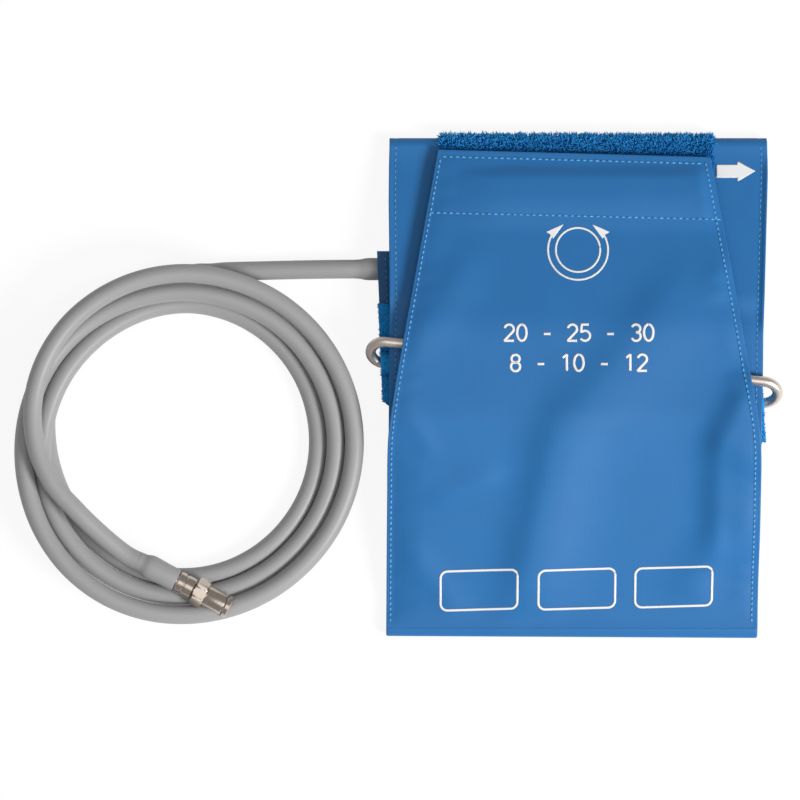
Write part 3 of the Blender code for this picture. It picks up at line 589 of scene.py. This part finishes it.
def strap():
    """The strap: its profile carried along the ring's slanted bar between two slanted ends."""
    profile = strap_profile()
    across = profile[:, :1]
    share = (across + STRAP_BELOW) / (STRAP_ABOVE + STRAP_BELOW)
    left = (-73.5 - 1.8 * share) * MM
    right = (74.1 - 2.6 * share) * MM
    x = left + (right - left) * stations(1.0, 0.006, 1 / 70)
    y = RING_AT[1] - (x - RING_AT[0]) * math.tan(RING_TILT) + across
    from_side = np.minimum(x - left, right - x)
    from_end = np.minimum(STRAP_ABOVE - across, across + STRAP_BELOW)
    half = THICK_HALF * edge_round(np.minimum(from_side, from_end), THICK_HALF)
    return cloth("pile_strap", point_grid(x, y, profile[:, 1:]), half, strap_base_painted_light)


ring_band, ring_band_top = strap()
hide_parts("ring_strap")


# Wire ring

def ring_path():
    """The wire's centre line: two bars joined by half circles, in a plane that rises from the lower bar to
    the upper one, turned by the tilt."""
    spacing = float(np.hypot(*RING_STEP))
    radius = spacing / 2
    half_bar = RING_LENGTH / 2 - WIRE / 2 - radius
    turn = np.linspace(-np.pi / 2, np.pi / 2, 33)
    bar = np.linspace(-1, 1, 81)[1:-1] * half_bar
    right = np.column_stack((half_bar + radius * np.cos(turn), radius * (1 + np.sin(turn))))
    left = np.column_stack((-half_bar - radius * np.cos(turn), radius * (1 - np.sin(turn))))
    upper = np.column_stack((bar[::-1], np.full(len(bar), spacing)))
    lower = np.column_stack((bar, np.zeros(len(bar))))
    flat = np.vstack((right, upper, left, lower))
    rise = RING_STEP / spacing
    local = np.column_stack((flat[:, 0], flat[:, 1:] * rise))
    turn_z = np.array(Matrix.Rotation(-RING_TILT, 3, "Z"))
    return local @ turn_z.T + RING_AT


ring = tube("wire_ring_bar", ring_path(), WIRE / 2, wire, closed=True, body="ring")
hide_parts("wire_ring")


# Loop patch and hook tape

def leaf_patch(name, ends, sides, level, half_thick, look, fold=False, body="cuff"):
    """A patch on the front leaf, and if asked round the top fold: the leaf's line moved outward to the
    patch's level and carried across from side to side."""
    path, spoke = leaf_run(ends[0] - stations(ends[0] - ends[1], 0.5 * MM, 1.5 * MM))
    if fold:
        arc, round_fold = (a[:-1] for a in fold_arc(0, 15))
        path = np.vstack((arc, path))
        spoke = np.vstack((round_fold, spoke))
    left, right = sides
    x = left + (right - left) * stations(1.0, 0.005, 1 / 60)
    place = path + spoke * level
    half = half_thick * edge_round(np.minimum(x - left, right - x), 0.3 * MM)
    return cloth(name, point_grid(x, place[:, :1], place[:, 1:]), half, look, body=body)


loops, loops_top = leaf_patch(
    "loop_patch_base", (FOLD_Y, 37 * MM), (-51.4 * MM, 54.1 * MM), LOOP_NEAR + 0.25 * MM, 0.25 * MM,
    pile_base, fold=True,
)
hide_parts("loop_patch")
hooks, _ = leaf_patch(
    "hook_tape", (86.5 * MM, 71 * MM), (-47.6 * MM, 48.7 * MM), HOOK_NEAR + 0.5 * MM, 0.4 * MM,
    hook_finish, body="flap",
)
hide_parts("hook_patch")


# Closing flap

# Each fold: where it starts and ends in x and y, its width, its height, and its width on the far side
FLAP_FOLDS = np.array((
    (70, 4, 56.5, -26, 7.5, 3.6, 200), (57, -20, 56, -64, 6.5, 3.4, 200), (54, -58, 44, -82, 8, 1.2, 8),
    (46, 44, -4, -18, 10, 2.2, 18), (-5, -12, -20, -84, 9, 3.2, 16), (62, 58, 52, 34, 6, 0.9, 6),
    (-40, 50, -60, 14, 7, 1.3, 9), (-54, -44, -30, -34, 4, 0.9, 6), (-64, -10, -54, -26, 4, 0.5, 4),
    (-64, -62, -44, -88, 6, 0.8, 6),
)) * MM


def ridge(x, y, fold):
    """A soft fold along a line: a bell across it, of one width on its near side and another on its far side,
    fading out at both ends."""
    start_x, start_y, end_x, end_y, width, height, far_width = fold
    line = (end_x - start_x, end_y - start_y)
    length = np.hypot(*line)
    along = ((x - start_x) * line[0] + (y - start_y) * line[1]) / length
    aside = ((x - start_x) * line[1] - (y - start_y) * line[0]) / length
    fade = np.exp(-((along - length / 2) / (0.55 * length)) ** 4)
    wide = np.where(aside > 0, width, far_width)
    return height * np.exp(-((aside / wide) ** 2)) * fade


def flap_relief(x, y):
    """Height above the flap's plain run: its folds, the fall of the lower left edge, puckers along the sides
    and the swell over the hook tape, all fading out at the bottom fold and at the tip."""
    inside = flap_inside(x, y)
    lift = sum(ridge(x, y, fold) for fold in FLAP_FOLDS)
    from_left = x - flap_centre(y) + flap_half(y)
    lift -= 1.6 * MM * smooth(14 * MM, 1 * MM, from_left) * smooth(-15 * MM, -35 * MM, y)
    pucker = np.sin(y / (2.3 * MM) + 2.4 * np.sin(y / (6.1 * MM)))
    lift += 0.12 * MM * (1 + pucker) * np.exp(-(((inside - 6 * MM) / (4 * MM)) ** 2))
    hook = smooth(85.2 * MM, 79.6 * MM, y) * smooth(58 * MM, 74 * MM, y)
    lift += 2.2 * MM * hook * smooth(-54 * MM, -25 * MM, x) * smooth(0, 7 * MM, inside)
    return lift * smooth(BOTTOM_Y, BOTTOM_Y + 10 * MM, y) * smooth(0, 6 * MM, tip_y(x) - y)


def flap_seams(x, y):
    """How far the sewing pulls the cloth down: a narrow groove along each stitch line."""
    groove = np.exp(-((flap_inside(x, y) - 2.0 * MM) / (0.9 * MM)) ** 2)
    groove += np.exp(-((tip_y(x) - y - TIP_SEW_INSET) / (0.8 * MM)) ** 2)
    groove += np.exp(-((y - hem_y(x)) / (0.9 * MM)) ** 2)
    return -0.15 * MM * np.minimum(groove, 1)


def flap_face_z(x, y):
    """Height of the face ply's middle: the flap's run and folds, with its sewn edges drawn to the backing."""
    inside = np.minimum(flap_inside(x, y), tip_y(x) - y)
    open_ply = FLAP_FACE_MID + 0.25 * MM * smooth(1.5 * MM, 8 * MM, np.minimum(inside, y - BOTTOM_Y))
    tuck = 0.08 * MM * smooth(BOTTOM_Y + 0.6 * MM, BOTTOM_Y - 0.4 * MM, y)
    return flap_z(y) + open_ply + flap_relief(x, y) + flap_seams(x, y) - tuck


def flap_back_z(x, y):
    """Height of the backing ply's middle: the flap's run and its folds."""
    return flap_z(y) + LINING_MID + flap_relief(x, y)


def flap_ply(name, height, look):
    """One ply of the flap: its height over a grid from the slanted tip down to the bottom fold."""
    run = stations(1.0, 0.008, 1 / 150)[:, None]
    span = stations(1.0, 0.006, 1 / 100)
    end_y = BOTTOM_Y - 0.5 * MM
    rough_y = FLAP_TIP_Y + (end_y - FLAP_TIP_Y) * run
    top = tip_y(flap_x(span, rough_y))
    y = top + (end_y - top) * run
    x = flap_x(span, y)
    inside = np.minimum(flap_inside(x, y), top - y)
    half = CLOTH / 2 * edge_round(np.maximum(inside, 0), 0.4 * MM)
    return cloth(name, point_grid(x, y, height(x, y)), half, look, body="flap")[0]


face = flap_ply("flap_outer_cloth", flap_face_z, coated)
backing = flap_ply("flap_backing_cloth", flap_back_z, lining_finish)
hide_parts("flap_face")
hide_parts("flap_backing")


def bottom_fold():
    """The cloth round the bottom fold: a half ellipse, deeper at the right, carried across the flap."""
    turn = np.radians(np.concatenate(((90, 91), np.linspace(95, 265, 35), (269, 270))))[:, None]
    span = stations(1.0, 0.006, 1 / 90)
    reach = BOTTOM_RADIUS + (1.0 + 0.4 * (2 * span - 1)) * MM
    y = BOTTOM_Y + reach * np.cos(turn)
    x = flap_x(span, y)
    z = BOTTOM_Z + BOTTOM_RADIUS * np.sin(turn)
    half = 0.75 * MM * edge_round(flap_inside(x, y), 0.7 * MM)
    return cloth("bottom_fold_cloth", point_grid(x, y, z), half, coated, body=None)[0]


fold_cloth = bottom_fold()
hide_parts("bottom_fold")
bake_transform(fold_cloth)

# Air hose

LEAD = np.array((
    (-82.1, 45.2, 4.6), (-87, 45.2, 4.6), (-97, 45.1, 4.2), (-109, 44.9, 3.7), (-122, 44.6, 3.6),
    (-134, 44.3, 3.6),
)) * MM
COIL_AT = np.array((-147.2, -22.3)) * MM
COIL_RADII = np.array((
    65.8, 64.9, 63.6, 61.9, 60, 58, 56.1, 54.6, 53.5, 53.1, 52.95, 52.5, 51.6, 50.7, 49.85, 49.2, 48.8, 48.7,
    48.8, 49.2, 49.95, 50.9, 51.95, 53, 54, 54.4, 54.6, 55, 55.7, 56.5, 57.4, 58.5, 59.4, 59.95, 60, 59.6,
    58.7, 57.75, 56.9, 56.2, 55.85, 55.7, 55.7, 55.85, 56.15, 56.6, 57.05, 57.5, 58.3, 59.2, 60.3, 61.6, 62.7,
    63.5, 64.25, 65.05, 66.05, 66.85, 67.05, 66.65, 65.75, 64.8, 63.95, 63.25, 62.9, 62.75, 62.85, 63, 63.3,
    63.75, 64.2, 64.65, 65.45, 65.85, 65.85, 65.45, 64.25, 62.3, 59.2, 55.2, 50.7, 48.95,
)) * MM
COIL_END = (3.4376, 49.45 * MM)
LOOP_POINTS = 24
HUMP_REACH = 2
STACK_PASSES = 6
STRAND_GAP = 0.05 * MM
HOSE_FLOOR = 3.6 * MM
COUPLING_AXIS = np.array((math.cos(COUPLING_ANGLE), math.sin(COUPLING_ANGLE), 0))


def eased_heights(height):
    """Heights spread along the hose by a running maximum, then a running mean, held off the floor."""
    width = 2 * HUMP_REACH + 1
    padded = np.pad(height, HUMP_REACH, mode="edge")
    highest = np.lib.stride_tricks.sliding_window_view(padded, width).max(axis=1)
    weights = np.hanning(width + 2)[1:-1]
    padded = np.pad(highest, HUMP_REACH, mode="edge")
    return np.maximum(np.convolve(padded, weights / weights.sum(), mode="valid"), HOSE_FLOOR)


def coil_points():
    """The coil's centre line: its radii in turn round its middle, each strand resting on those it crosses,
    and its end risen to the coupling."""
    end = 2 * np.pi * COIL_END[0]
    at = np.append(2 * np.pi / LOOP_POINTS * np.arange(len(COIL_RADII)), end)
    radius = np.append(COIL_RADII, COIL_END[1])
    last = len(at) - 1
    reach = HOSE + STRAND_GAP
    height = np.full(len(at), HOSE_FLOOR)
    for _ in range(STACK_PASSES):
        needed = np.full(len(at), HOSE_FLOOR)
        for below in range(LOOP_POINTS, len(at), LOOP_POINTS):
            upper = slice(below, last)
            lower = slice(0, last - below)
            aside = np.minimum(np.abs(radius[upper] - radius[lower]), reach)
            lift = np.sqrt(reach**2 - aside**2)
            needed[upper] = np.maximum(needed[upper], np.where(lift > 0, height[lower] + lift, HOSE_FLOOR))
        height = eased_heights(needed)
    end_rise = smooth(end - np.pi / 2, end, at)
    height = np.maximum(height, HOSE_FLOOR + (COUPLING_Z - HOSE_FLOOR) * end_rise)
    height[-1] = COUPLING_Z
    coil = np.column_stack((COIL_AT[0] - radius * np.sin(at), COIL_AT[1] + radius * np.cos(at), height))
    run_in = coil[:1] + (HOSE, 0.3 * MM, 0)
    run_out = coil[-1:] - COUPLING_AXIS * HOSE
    return np.vstack((run_in, coil[:-1], run_out, coil[-1:]))


def through(points, spacing):
    """Points about this far apart on a smooth curve through the given ones."""
    ends = np.vstack((2 * points[0] - points[1], points, 2 * points[-1] - points[-2]))
    curve = [points[:1]]
    for a, b, c, d, run in zip(ends, ends[1:], ends[2:], ends[3:], steps_along(points)):
        t = np.linspace(0, 1, max(1, round(run / spacing)) + 1)[1:, None]
        pull = (c - a) * t + (2 * a - 5 * b + 4 * c - d) * t**2 + (3 * b - a - 3 * c + d) * t**3
        curve.append(b + pull / 2)
    return np.vstack(curve)


coil_line = coil_points()
hose_line = through(np.vstack((LEAD, coil_line)), 2.0 * MM)
hose = tube("air_hose", hose_line, HOSE / 2, rubber)
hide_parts("hose_lead", "hose_coil")

# Widened hose ends and the screw coupling

COUPLING_START = Vector(coil_line[-1] + COUPLING_AXIS * 0.3 * MM)
COUPLING_AT = Matrix.Translation(COUPLING_START) @ Matrix.Rotation(COUPLING_ANGLE, 4, "Z")
PORT_AT = Matrix.Translation(Vector((0, PORT_Y, 4.6 * MM)))

cuff_end = turned("hose_cuff_end", (
    (-84.0, 2.3), (-84.0, 3.5), (-83.95, 3.66), (-83.7, 3.67), (-82.6, 3.7), (-81.4, 3.92), (-80.2, 4.2),
    (-78.8, 4.3), (-73.0, 4.3), (-71.8, 4.2), (-71.4, 3.8), (-71.4, 2.3)), rubber, PORT_AT)
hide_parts("hose_sleeve")
far_end = turned("hose_far_end", (
    (-1.8, 0.5), (-1.8, 3.5), (-1.75, 3.66), (-1.5, 3.67), (-0.6, 3.69), (0.4, 3.8), (1.4, 4.2), (2.4, 4.56),
    (3.6, 4.7), (5.2, 4.68), (8.5, 4.5), (13.6, 4.42), (14.5, 4.25), (14.7, 3.9), (14.7, 2.25), (6.9, 2.25),
    (6.9, 2.7), (3.4, 2.7), (3.4, 0.5)), rubber, COUPLING_AT)
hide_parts("hose_end_sleeve")
collar = turned("coupling_collar", (
    (15.0, 2.2), (15.0, 3.6), (15.6, 4.2), (17.6, 4.2), (17.9, 3.95), (18.3, 3.95), (18.6, 4.2), (21.7, 4.2),
    (22.3, 3.6), (22.3, 2.2)), nickel, COUPLING_AT)
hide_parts("rear_collar")
nut = turned("coupling_nut_body", (
    (22.6, 3.6), (22.6, 5.1), (23.0, 5.72), (26.8, 5.72), (27.2, 5.1), (27.2, 4.1), (27.6, 4.1), (27.9, 4.25),
    (34.9, 4.25), (35.4, 3.9), (35.4, 3.3), (24.9, 3.3), (24.9, 2.4), (22.9, 2.4), (22.9, 3.6)),
    nickel, COUPLING_AT, steps=96, sides=6, body="nut")
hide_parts("coupling_nut")
end_ring = turned("coupling_end_ring", (
    (35.7, 3.0), (35.7, 4.1), (36.0, 4.35), (37.3, 4.35), (37.8, 3.8), (37.8, 3.0)),
    nickel, COUPLING_AT, body="nut")
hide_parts("end_ring")


# Sewing

SEW_LIFT = 0.05 * MM
GUARD_SEW_INSET = 3.2 * MM


def strands(name, points, quads, tris, painted_shade_and_tone, look, body="cuff"):
    """Many strands of one make as a mesh, with a value at every point, painted shadow and light times a
    random tone, that mixes the finish's colours.
    """
    first = (np.arange(len(points)) * points.shape[1])[:, None, None]
    made = add_mesh(name, points, quads + first, look, tris + first, body)
    tone = made.data.attributes.new("tone", "FLOAT", "POINT")
    tone.data.foreach_set("value", painted_shade_and_tone.astype(np.float32).ravel())
    return made


def panel_top(x, y):
    """Height of the front leaf's outer face, from the point of its line whose outward step ends at this y."""
    from_y = y
    for _ in range(6):
        slope = (leaf_z(from_y + 0.5 * MM) - leaf_z(from_y - 0.5 * MM)) / MM
        left = cuff_left(from_y)
        right = cuff_right(from_y)
        step = seamed(x, from_y, FRONT, left, right, cover_level(from_y, FRONT), SEAM_MID) + CLOTH / 2
        step = step / np.hypot(1, slope)
        from_y = y + slope * step
    return leaf_z(from_y) + step


def flap_top(x, y):
    """Height of the flap's outer face."""
    return flap_face_z(x, y) + CLOTH / 2


def guard_face(x, y):
    """Height of the guard panel's outer face."""
    return guard_z(y) + THICK_HALF


def on_surface(x, y, surface, lift=SEW_LIFT):
    """Points over these x and y, lifted off the surface."""
    return point_grid(x, y, surface(x, y) + lift)


def line_runs(line):
    """Distance along a line of points to each of them."""
    return np.concatenate(([0], np.cumsum(steps_along(line))))


def points_at(line, run, at):
    """Points at these distances along a line."""
    return np.column_stack([np.interp(at, run, column) for column in line.T])


def stitches(name, lines, body, pitch, radius, bright):
    """Short threads at an even pitch along each line: six-sided capsules that lie along it, pale in the
    middle and dark where they enter the cloth, that dark being painted shadow of the needle holes."""
    centres = []
    aheads = []
    for line in lines:
        run = line_runs(line)
        at = np.arange(pitch / 2, run[-1], pitch)
        centres.append(points_at(line, run, at))
        aheads.append(points_at(line, run, at + 0.4 * MM) - points_at(line, run, at - 0.4 * MM))
    centre = np.vstack(centres)
    ahead = np.vstack(aheads)
    ahead[:, :2] += RNG.normal(0, 0.05 * MM, (len(ahead), 2))
    ahead = unit(ahead)
    side = unit(np.cross((0.0, 0.0, 1.0), ahead))
    up = np.cross(ahead, side)
    turn = np.linspace(0, 2 * np.pi, 6, endpoint=False)
    ring = np.column_stack((np.zeros(6), np.cos(turn), np.sin(turn))) * radius
    along = np.array((pitch / 2, 0, 0))
    local = np.vstack((-along, ring * 0.8 - along * 0.75, ring, ring * 0.8 + along * 0.75, along))
    long = RNG.uniform(0.88, 1.0, (len(centre), 1, 1))
    points = centre[:, None] + local[None, :, :1] * long * ahead[:, None]
    points = points + local[None, :, 1:2] * side[:, None] + local[None, :, 2:] * up[:, None]
    near = np.arange(6)
    beside = (near + 1) % 6
    quads = np.vstack([np.column_stack((a + near, a + beside, a + 6 + beside, a + 6 + near)) for a in (1, 7)])
    tris = np.vstack((
        np.column_stack((np.zeros(6, int), 1 + beside, 1 + near)),
        np.column_stack((np.full(6, 19), 13 + near, 13 + beside)),
    ))
    # Painted shadow: dark at both ends, where the thread sinks into the cloth, pale in the middle; times a
    # random tone per stitch.
    painted_shade_and_tone = np.repeat((0.0, 0.35, 1.0, 0.35, 0.0), (1, 6, 6, 6, 1))
    painted_shade_and_tone = painted_shade_and_tone * RNG.uniform(0.75, 1.0, (len(centre), 1))
    made = strands(name, points, quads, tris, painted_shade_and_tone * bright, thread, body)
    return made


def flap_edge(side, inset):
    """A stitch line along the flap's left (-1) or right (1) edge."""
    y = np.linspace(-91.5 * MM, tip_y(side * 52 * MM) - TIP_SEW_INSET, 120)
    x = flap_centre(y) + side * (flap_half(y) - inset)
    return on_surface(x, y, flap_top)


tip_x = np.linspace(-50.9 * MM, 50.2 * MM, 90)
hem_x = np.linspace(-55.8 * MM, 56.6 * MM, 90)
side_y = np.linspace(93 * MM, -92 * MM, 160)
guard_y = np.linspace(50 * MM, 28 * MM, 20)
flap_sides = [flap_edge(-1, 1.5 * MM), flap_edge(1, 2.4 * MM)]
flap_sewing = stitches("flap_side_sewing", flap_sides, "flap", 2.15 * MM, 0.38 * MM, 1.0)
tip_sewing = stitches("flap_tip_sewing", [
    on_surface(tip_x, tip_y(tip_x) - TIP_SEW_INSET, flap_top),
    on_surface(hem_x, hem_y(hem_x), flap_top),
], "flap", 2.45 * MM, 0.33 * MM, 1.0)
panel_sewing = stitches("panel_sewing", [
    on_surface(cuff_left(side_y) + SEW_INSET, side_y, panel_top),
    on_surface(cuff_right(side_y) - SEW_INSET, side_y, panel_top),
], "cuff", 2.3 * MM, 0.24 * MM, 0.9)
guard_sewing = stitches("guard_sewing", [
    on_surface(guard_left(guard_y) + GUARD_SEW_INSET, guard_y, guard_face),
    on_surface(guard_right(guard_y) - GUARD_SEW_INSET, guard_y, guard_face),
], "cuff", 2.3 * MM, 0.24 * MM, 0.6)

# Print, laid out in millimetres

INK_LIFT = 0.06 * MM
ARROW_LIFT = 0.12 * MM
INK_HALF = 0.03 * MM
LINE_WIDTH = 0.84
BOX_LINE_WIDTH = 1.0
DIGIT_WIDTH = 1.1
DIGIT_HEIGHT = 6.2
OVERLAP = 4


def inked(x, y, surface, lift=INK_LIFT):
    """A thin layer of ink over a grid of x and y on the surface."""
    middle = on_surface(x * MM, y * MM, surface, lift)
    half = np.zeros(middle.shape[:2])
    half[1:-1, 1:-1] = INK_HALF
    points, quads, _ = shell(middle, half, np.array((0.0, 0.0, 1.0)))
    return points, quads


def stroke(line, width, closed=False):
    """An inked line of even width on the flap. A closed one runs a little over its own start."""
    if closed:
        ahead = np.roll(line, -1, axis=0) - np.roll(line, 1, axis=0)
        line = np.vstack((line, line[:OVERLAP]))
        ahead = np.vstack((ahead, ahead[:OVERLAP]))
    else:
        ahead = np.gradient(line, axis=0)
    ahead = unit(ahead)
    across = np.linspace(0.5, -0.5, 4) * width
    return inked(line[:, :1] - ahead[:, 1:] * across, line[:, 1:] + ahead[:, :1] * across, flap_top)


def patch(corners, count=14):
    """An inked four-cornered area on the flap: straight lines between two opposite sides."""
    u = np.linspace(0, 1, count)[:, None, None]
    v = np.linspace(0, 1, count)[None, :, None]
    a, b, c, d = corners
    flat = (a * (1 - v) + b * v) * (1 - u) + (d * (1 - v) + c * v) * u
    return inked(flat[..., 0], flat[..., 1], flap_top)


def arc_line(centre, radius, start, end, count=80):
    """Points on a circle, or with two radii on an ellipse, between two angles."""
    turn = np.radians(np.linspace(start, end, count))
    return np.array(centre) + np.column_stack((np.cos(turn), np.sin(turn))) * radius


def fine_line(line, spacing):
    """Points close together along straight runs."""
    run = line_runs(line)
    return points_at(line, run, np.linspace(0, run[-1], max(4, int(run[-1] / spacing))))


def rounded_box(centre, size, radius):
    """The outline of a box whose corners are quarter circles."""
    corners = []
    for start, sx, sy in ((0, 1, 1), (90, -1, 1), (180, -1, -1), (270, 1, -1)):
        corner = (centre[0] + sx * (size[0] / 2 - radius), centre[1] + sy * (size[1] / 2 - radius))
        corners.append(arc_line(corner, radius, start, start + 90, 10))
    return fine_line(np.vstack(corners + [corners[0][:1]]), 0.6)[:-1]


# Plain numerals, each as strokes in a box 0.6 wide and 1 high
NUMERALS = {
    "0": [arc_line((0.3, 0.5), (0.29, 0.5), 90, 450)],
    "1": [((0.08, 0.80), (0.34, 1.0), (0.34, 0.0))],
    "2": [(*arc_line((0.3, 0.72), 0.28, 170, -35, 24), (0.0, 0.0), (0.6, 0.0))],
    "3": [(*arc_line((0.3, 0.74), 0.26, 160, -80, 24), *arc_line((0.3, 0.27), 0.28, 80, -160, 24))],
    "5": [((0.54, 1.0), (0.10, 1.0), (0.05, 0.52), *arc_line((0.29, 0.31), 0.31, 130, -150, 24))],
    "8": [arc_line((0.3, 0.74), 0.25, -90, 270), arc_line((0.3, 0.26), 0.28, 90, 450)],
    "-": [((0.08, 0.42), (0.52, 0.42))],
    " ": [],
}


def number_row(text, middle):
    """The strokes of a row of numerals at an even pitch."""
    pitch = 0.78 * DIGIT_HEIGHT
    start = middle[0] - pitch * len(text) / 2
    made = []
    for place, kind in enumerate(text):
        corner = (start + place * pitch, middle[1] - DIGIT_HEIGHT / 2)
        for line in NUMERALS[kind]:
            made.append(stroke(fine_line(np.array(line) * DIGIT_HEIGHT + corner, 0.25), DIGIT_WIDTH))
    return made


SYMBOL = np.array((1.4, 52.2))
ARROW_HEAD = np.array(((5.2, 10.1), (12.3, 6.9), (10.5, 5.9), (9.5, 4.2)))
marks = [
    stroke(arc_line(SYMBOL, 8.5, 0, 360)[:-1], LINE_WIDTH, closed=True),
    stroke(arc_line(SYMBOL, 11.5, 150, 390, 120), LINE_WIDTH),
    patch(np.roll(SYMBOL + ARROW_HEAD[::-1] * (-1, 1), 1, axis=0)),
    patch(SYMBOL + ARROW_HEAD),
]
marks += number_row("20 - 25 - 30", (2.0, 20.4))
marks += number_row("8 - 10 - 12", (2.0, 8.9))
for middle in ((-36.4, -78.7), (1.35, -78.3), (38.7, -77.5)):
    outline = rounded_box(middle, (29.6, 15.2), 2.6)
    outline[:, 1] += 0.03 * (outline[:, 0] - middle[0])
    marks.append(stroke(outline, BOX_LINE_WIDTH, closed=True))
points, quads = joined(marks)
flap_print = add_mesh("flap_print", points, quads, ink, body="flap")
SHAFT_X = (55.0, 63.4)
POINT_X = (63.45, 70.3)
arrow_x = np.concatenate((np.linspace(*SHAFT_X, 12), np.linspace(*POINT_X, 12)))[:, None]
tapered = 4.1 * (POINT_X[1] - arrow_x) / (POINT_X[1] - POINT_X[0])
arrow_half = np.where(arrow_x < POINT_X[0], 2.65, tapered)
points, quads = inked(arrow_x, 82.9 + arrow_half * np.linspace(1, -1, 12), panel_top, ARROW_LIFT)
arrow = add_mesh("panel_arrow", points, quads, ink)


# Pile

def tufts(name, surface, count, height, keep):
    """Bent three-sided strands that stand on random spots of a grid, leaning as brushed pile does."""
    rows, columns = surface.shape[:2]
    reach = line_runs(surface[:, columns // 2])
    row = np.interp(RNG.uniform(0, reach[-1], count), reach, np.arange(rows))
    reach = line_runs(surface[rows // 2])
    column = np.interp(RNG.uniform(0, reach[-1], count), reach, np.arange(columns))
    i = np.minimum(row.astype(int), rows - 2)
    j = np.minimum(column.astype(int), columns - 2)
    u = (row - i)[:, None]
    v = (column - j)[:, None]
    root = (surface[i, j] * (1 - u) + surface[i + 1, j] * u) * (1 - v)
    root = root + (surface[i, j + 1] * (1 - u) + surface[i + 1, j + 1] * u) * v
    normal = grid_normals(surface)[i, j]
    kept = keep(root)
    root = root[kept]
    number = len(root)
    lean = RNG.normal(0, 0.35, (number, 3))
    tall = height(root)[:, None] * RNG.uniform(0.8, 1.0, (number, 1))
    bend = RNG.normal(0, 0.6, (number, 3))
    ahead = unit(normal[kept] + lean)
    side = unit(np.cross(ahead, (0.31, 0.87, 0.38)))
    over = np.cross(ahead, side)
    share = np.array((0.0, 0.45, 0.8, 1.0))
    thick = np.array((0.20, 0.19, 0.15, 0.0)) * MM
    turn = np.radians((0, 120, 240))
    spine = root[:, None] + ahead[:, None] * tall[:, None] * share[:, None]
    spine = spine + bend[:, None] * tall[:, None] * 0.5 * share[:, None] ** 2
    spoke = np.cos(turn)[:, None] * side[:, None] + np.sin(turn)[:, None] * over[:, None]
    rings = spine[:, :3, None] + spoke[:, None] * thick[:3, None, None]
    points = np.concatenate((rings.reshape(number, 9, 3), spine[:, 3:]), axis=1)
    near = np.arange(3)
    beside = (near + 1) % 3
    quads = np.vstack([np.column_stack((a + near, a + beside, a + 3 + beside, a + 3 + near)) for a in (0, 3)])
    tris = np.vstack((np.column_stack((6 + near, 6 + beside, np.full(3, 9))), ((0, 2, 1),)))
    # Painted shadow deep in the pile: dark at the root, light at the tip; times a random tone per tuft.
    painted_shade_and_tone = np.repeat((0.1, 0.45, 0.85, 1.0), (3, 3, 3, 1)) * RNG.uniform(0.5, 1.0, (number, 1))
    root_y = root[:, 1:2]
    # Above 60 mm in y, on the loop patch: painted shadow (x0.75) up to the flap's tip, rising to painted
    # light (x1.15) along the fringe over the top fold; pile lower down, the strap's included, is left as it
    # is.
    painted_shade_and_tone *= np.where(root_y < 60 * MM, 1.0, 0.75 + 0.4 * smooth(89.5 * MM, 95.5 * MM, root_y))
    made = strands(name, points, quads, tris, painted_shade_and_tone, pile_finish)
    return made


def loop_height(root):
    """Pile stands taller at the top fold, where nothing presses on it."""
    return (0.85 + 0.75 * smooth(86.5 * MM, 89 * MM, root[:, 1])) * MM


def loop_kept(root):
    """All the pile above the flap's tip, and a thin share of it under the flap."""
    return (root[:, 1] > 85 * MM) | (RNG.uniform(0, 1, len(root)) < 0.12)


def strap_height(root):
    return np.full(len(root), 0.5 * MM)


def strap_kept(root):
    """Pile near the strap's ends, but over the bar only outside the cuff's edges."""
    x, _, z = root.T
    return (np.abs(x) > 66 * MM) & ((z < 15 * MM) | (x < -71.8 * MM) | (x > 73.4 * MM))


loop_pile = tufts("loop_pile", loops_top, 36000, loop_height, loop_kept)
strap_pile = tufts("strap_pile", ring_band_top, 20000, strap_height, strap_kept)


# Stage, light and camera

def floor_finish():
    """Pale floor that the camera sees mostly as plain white, so that only a faint shadow stays."""
    made = finish("floor", (0.93, 0.93, 0.93), 0.9)
    tree = made.node_tree
    glow = node(tree, "Emission", Color=(1, 1, 1, 1), Strength=1.02)
    seen = node(tree, "LightPath")
    share = node(tree, "Math")
    share.operation = "MULTIPLY"
    share.inputs[1].default_value = 0.88
    mix = node(tree, "MixShader")
    link(tree, seen, "Is Camera Ray", share, 0)
    link(tree, share, "Value", mix, "Fac")
    link(tree, tree.nodes[SHADER], "BSDF", mix, 1)
    link(tree, glow, "Emission", mix, 2)
    link(tree, mix, "Shader", tree.nodes["Material Output"], "Surface")
    return made


def area(name, place, aim, size, power):
    """A round area light at a place, turned to its aim."""
    data = bpy.data.lights.new(name, "AREA")
    data.shape = "DISK"
    data.size = size
    data.energy = power
    lamp = bpy.data.objects.new(name, data)
    bpy.context.scene.collection.objects.link(lamp)
    lamp.location = place
    lamp.rotation_euler = (Vector(aim) - Vector(place)).to_track_quat("-Z", "Y").to_euler()
    return lamp


bpy.ops.mesh.primitive_plane_add(size=6, location=(0, 0, -0.05 * MM))
floor = bpy.context.object
floor.name = "floor"
floor.data.materials.append(floor_finish())
AIM = (-0.05, 0.0, 0.0)
lights = [
    area("key", (1.22, -0.73, 1.36), AIM, 0.70, 35.5),
    area("overhead", (-0.05, -0.15, 2.3), AIM, 1.5, 6.7),
]

world = bpy.data.worlds.new("studio")
world.use_nodes = True
put(world.node_tree.nodes["Background"], Color=(1, 1, 1, 1), Strength=0.30)
bpy.context.scene.world = world

lens = bpy.data.cameras.new("camera")
lens.lens = 209.0
lens.sensor_width = 36.0
lens.clip_end = 10
camera = bpy.data.objects.new("camera", lens)
bpy.context.scene.collection.objects.link(camera)
camera.location = (-66.8 * MM, -5.4 * MM, 1.8)
bpy.context.scene.camera = camera
bpy.context.scene.view_settings.view_transform = "Standard"
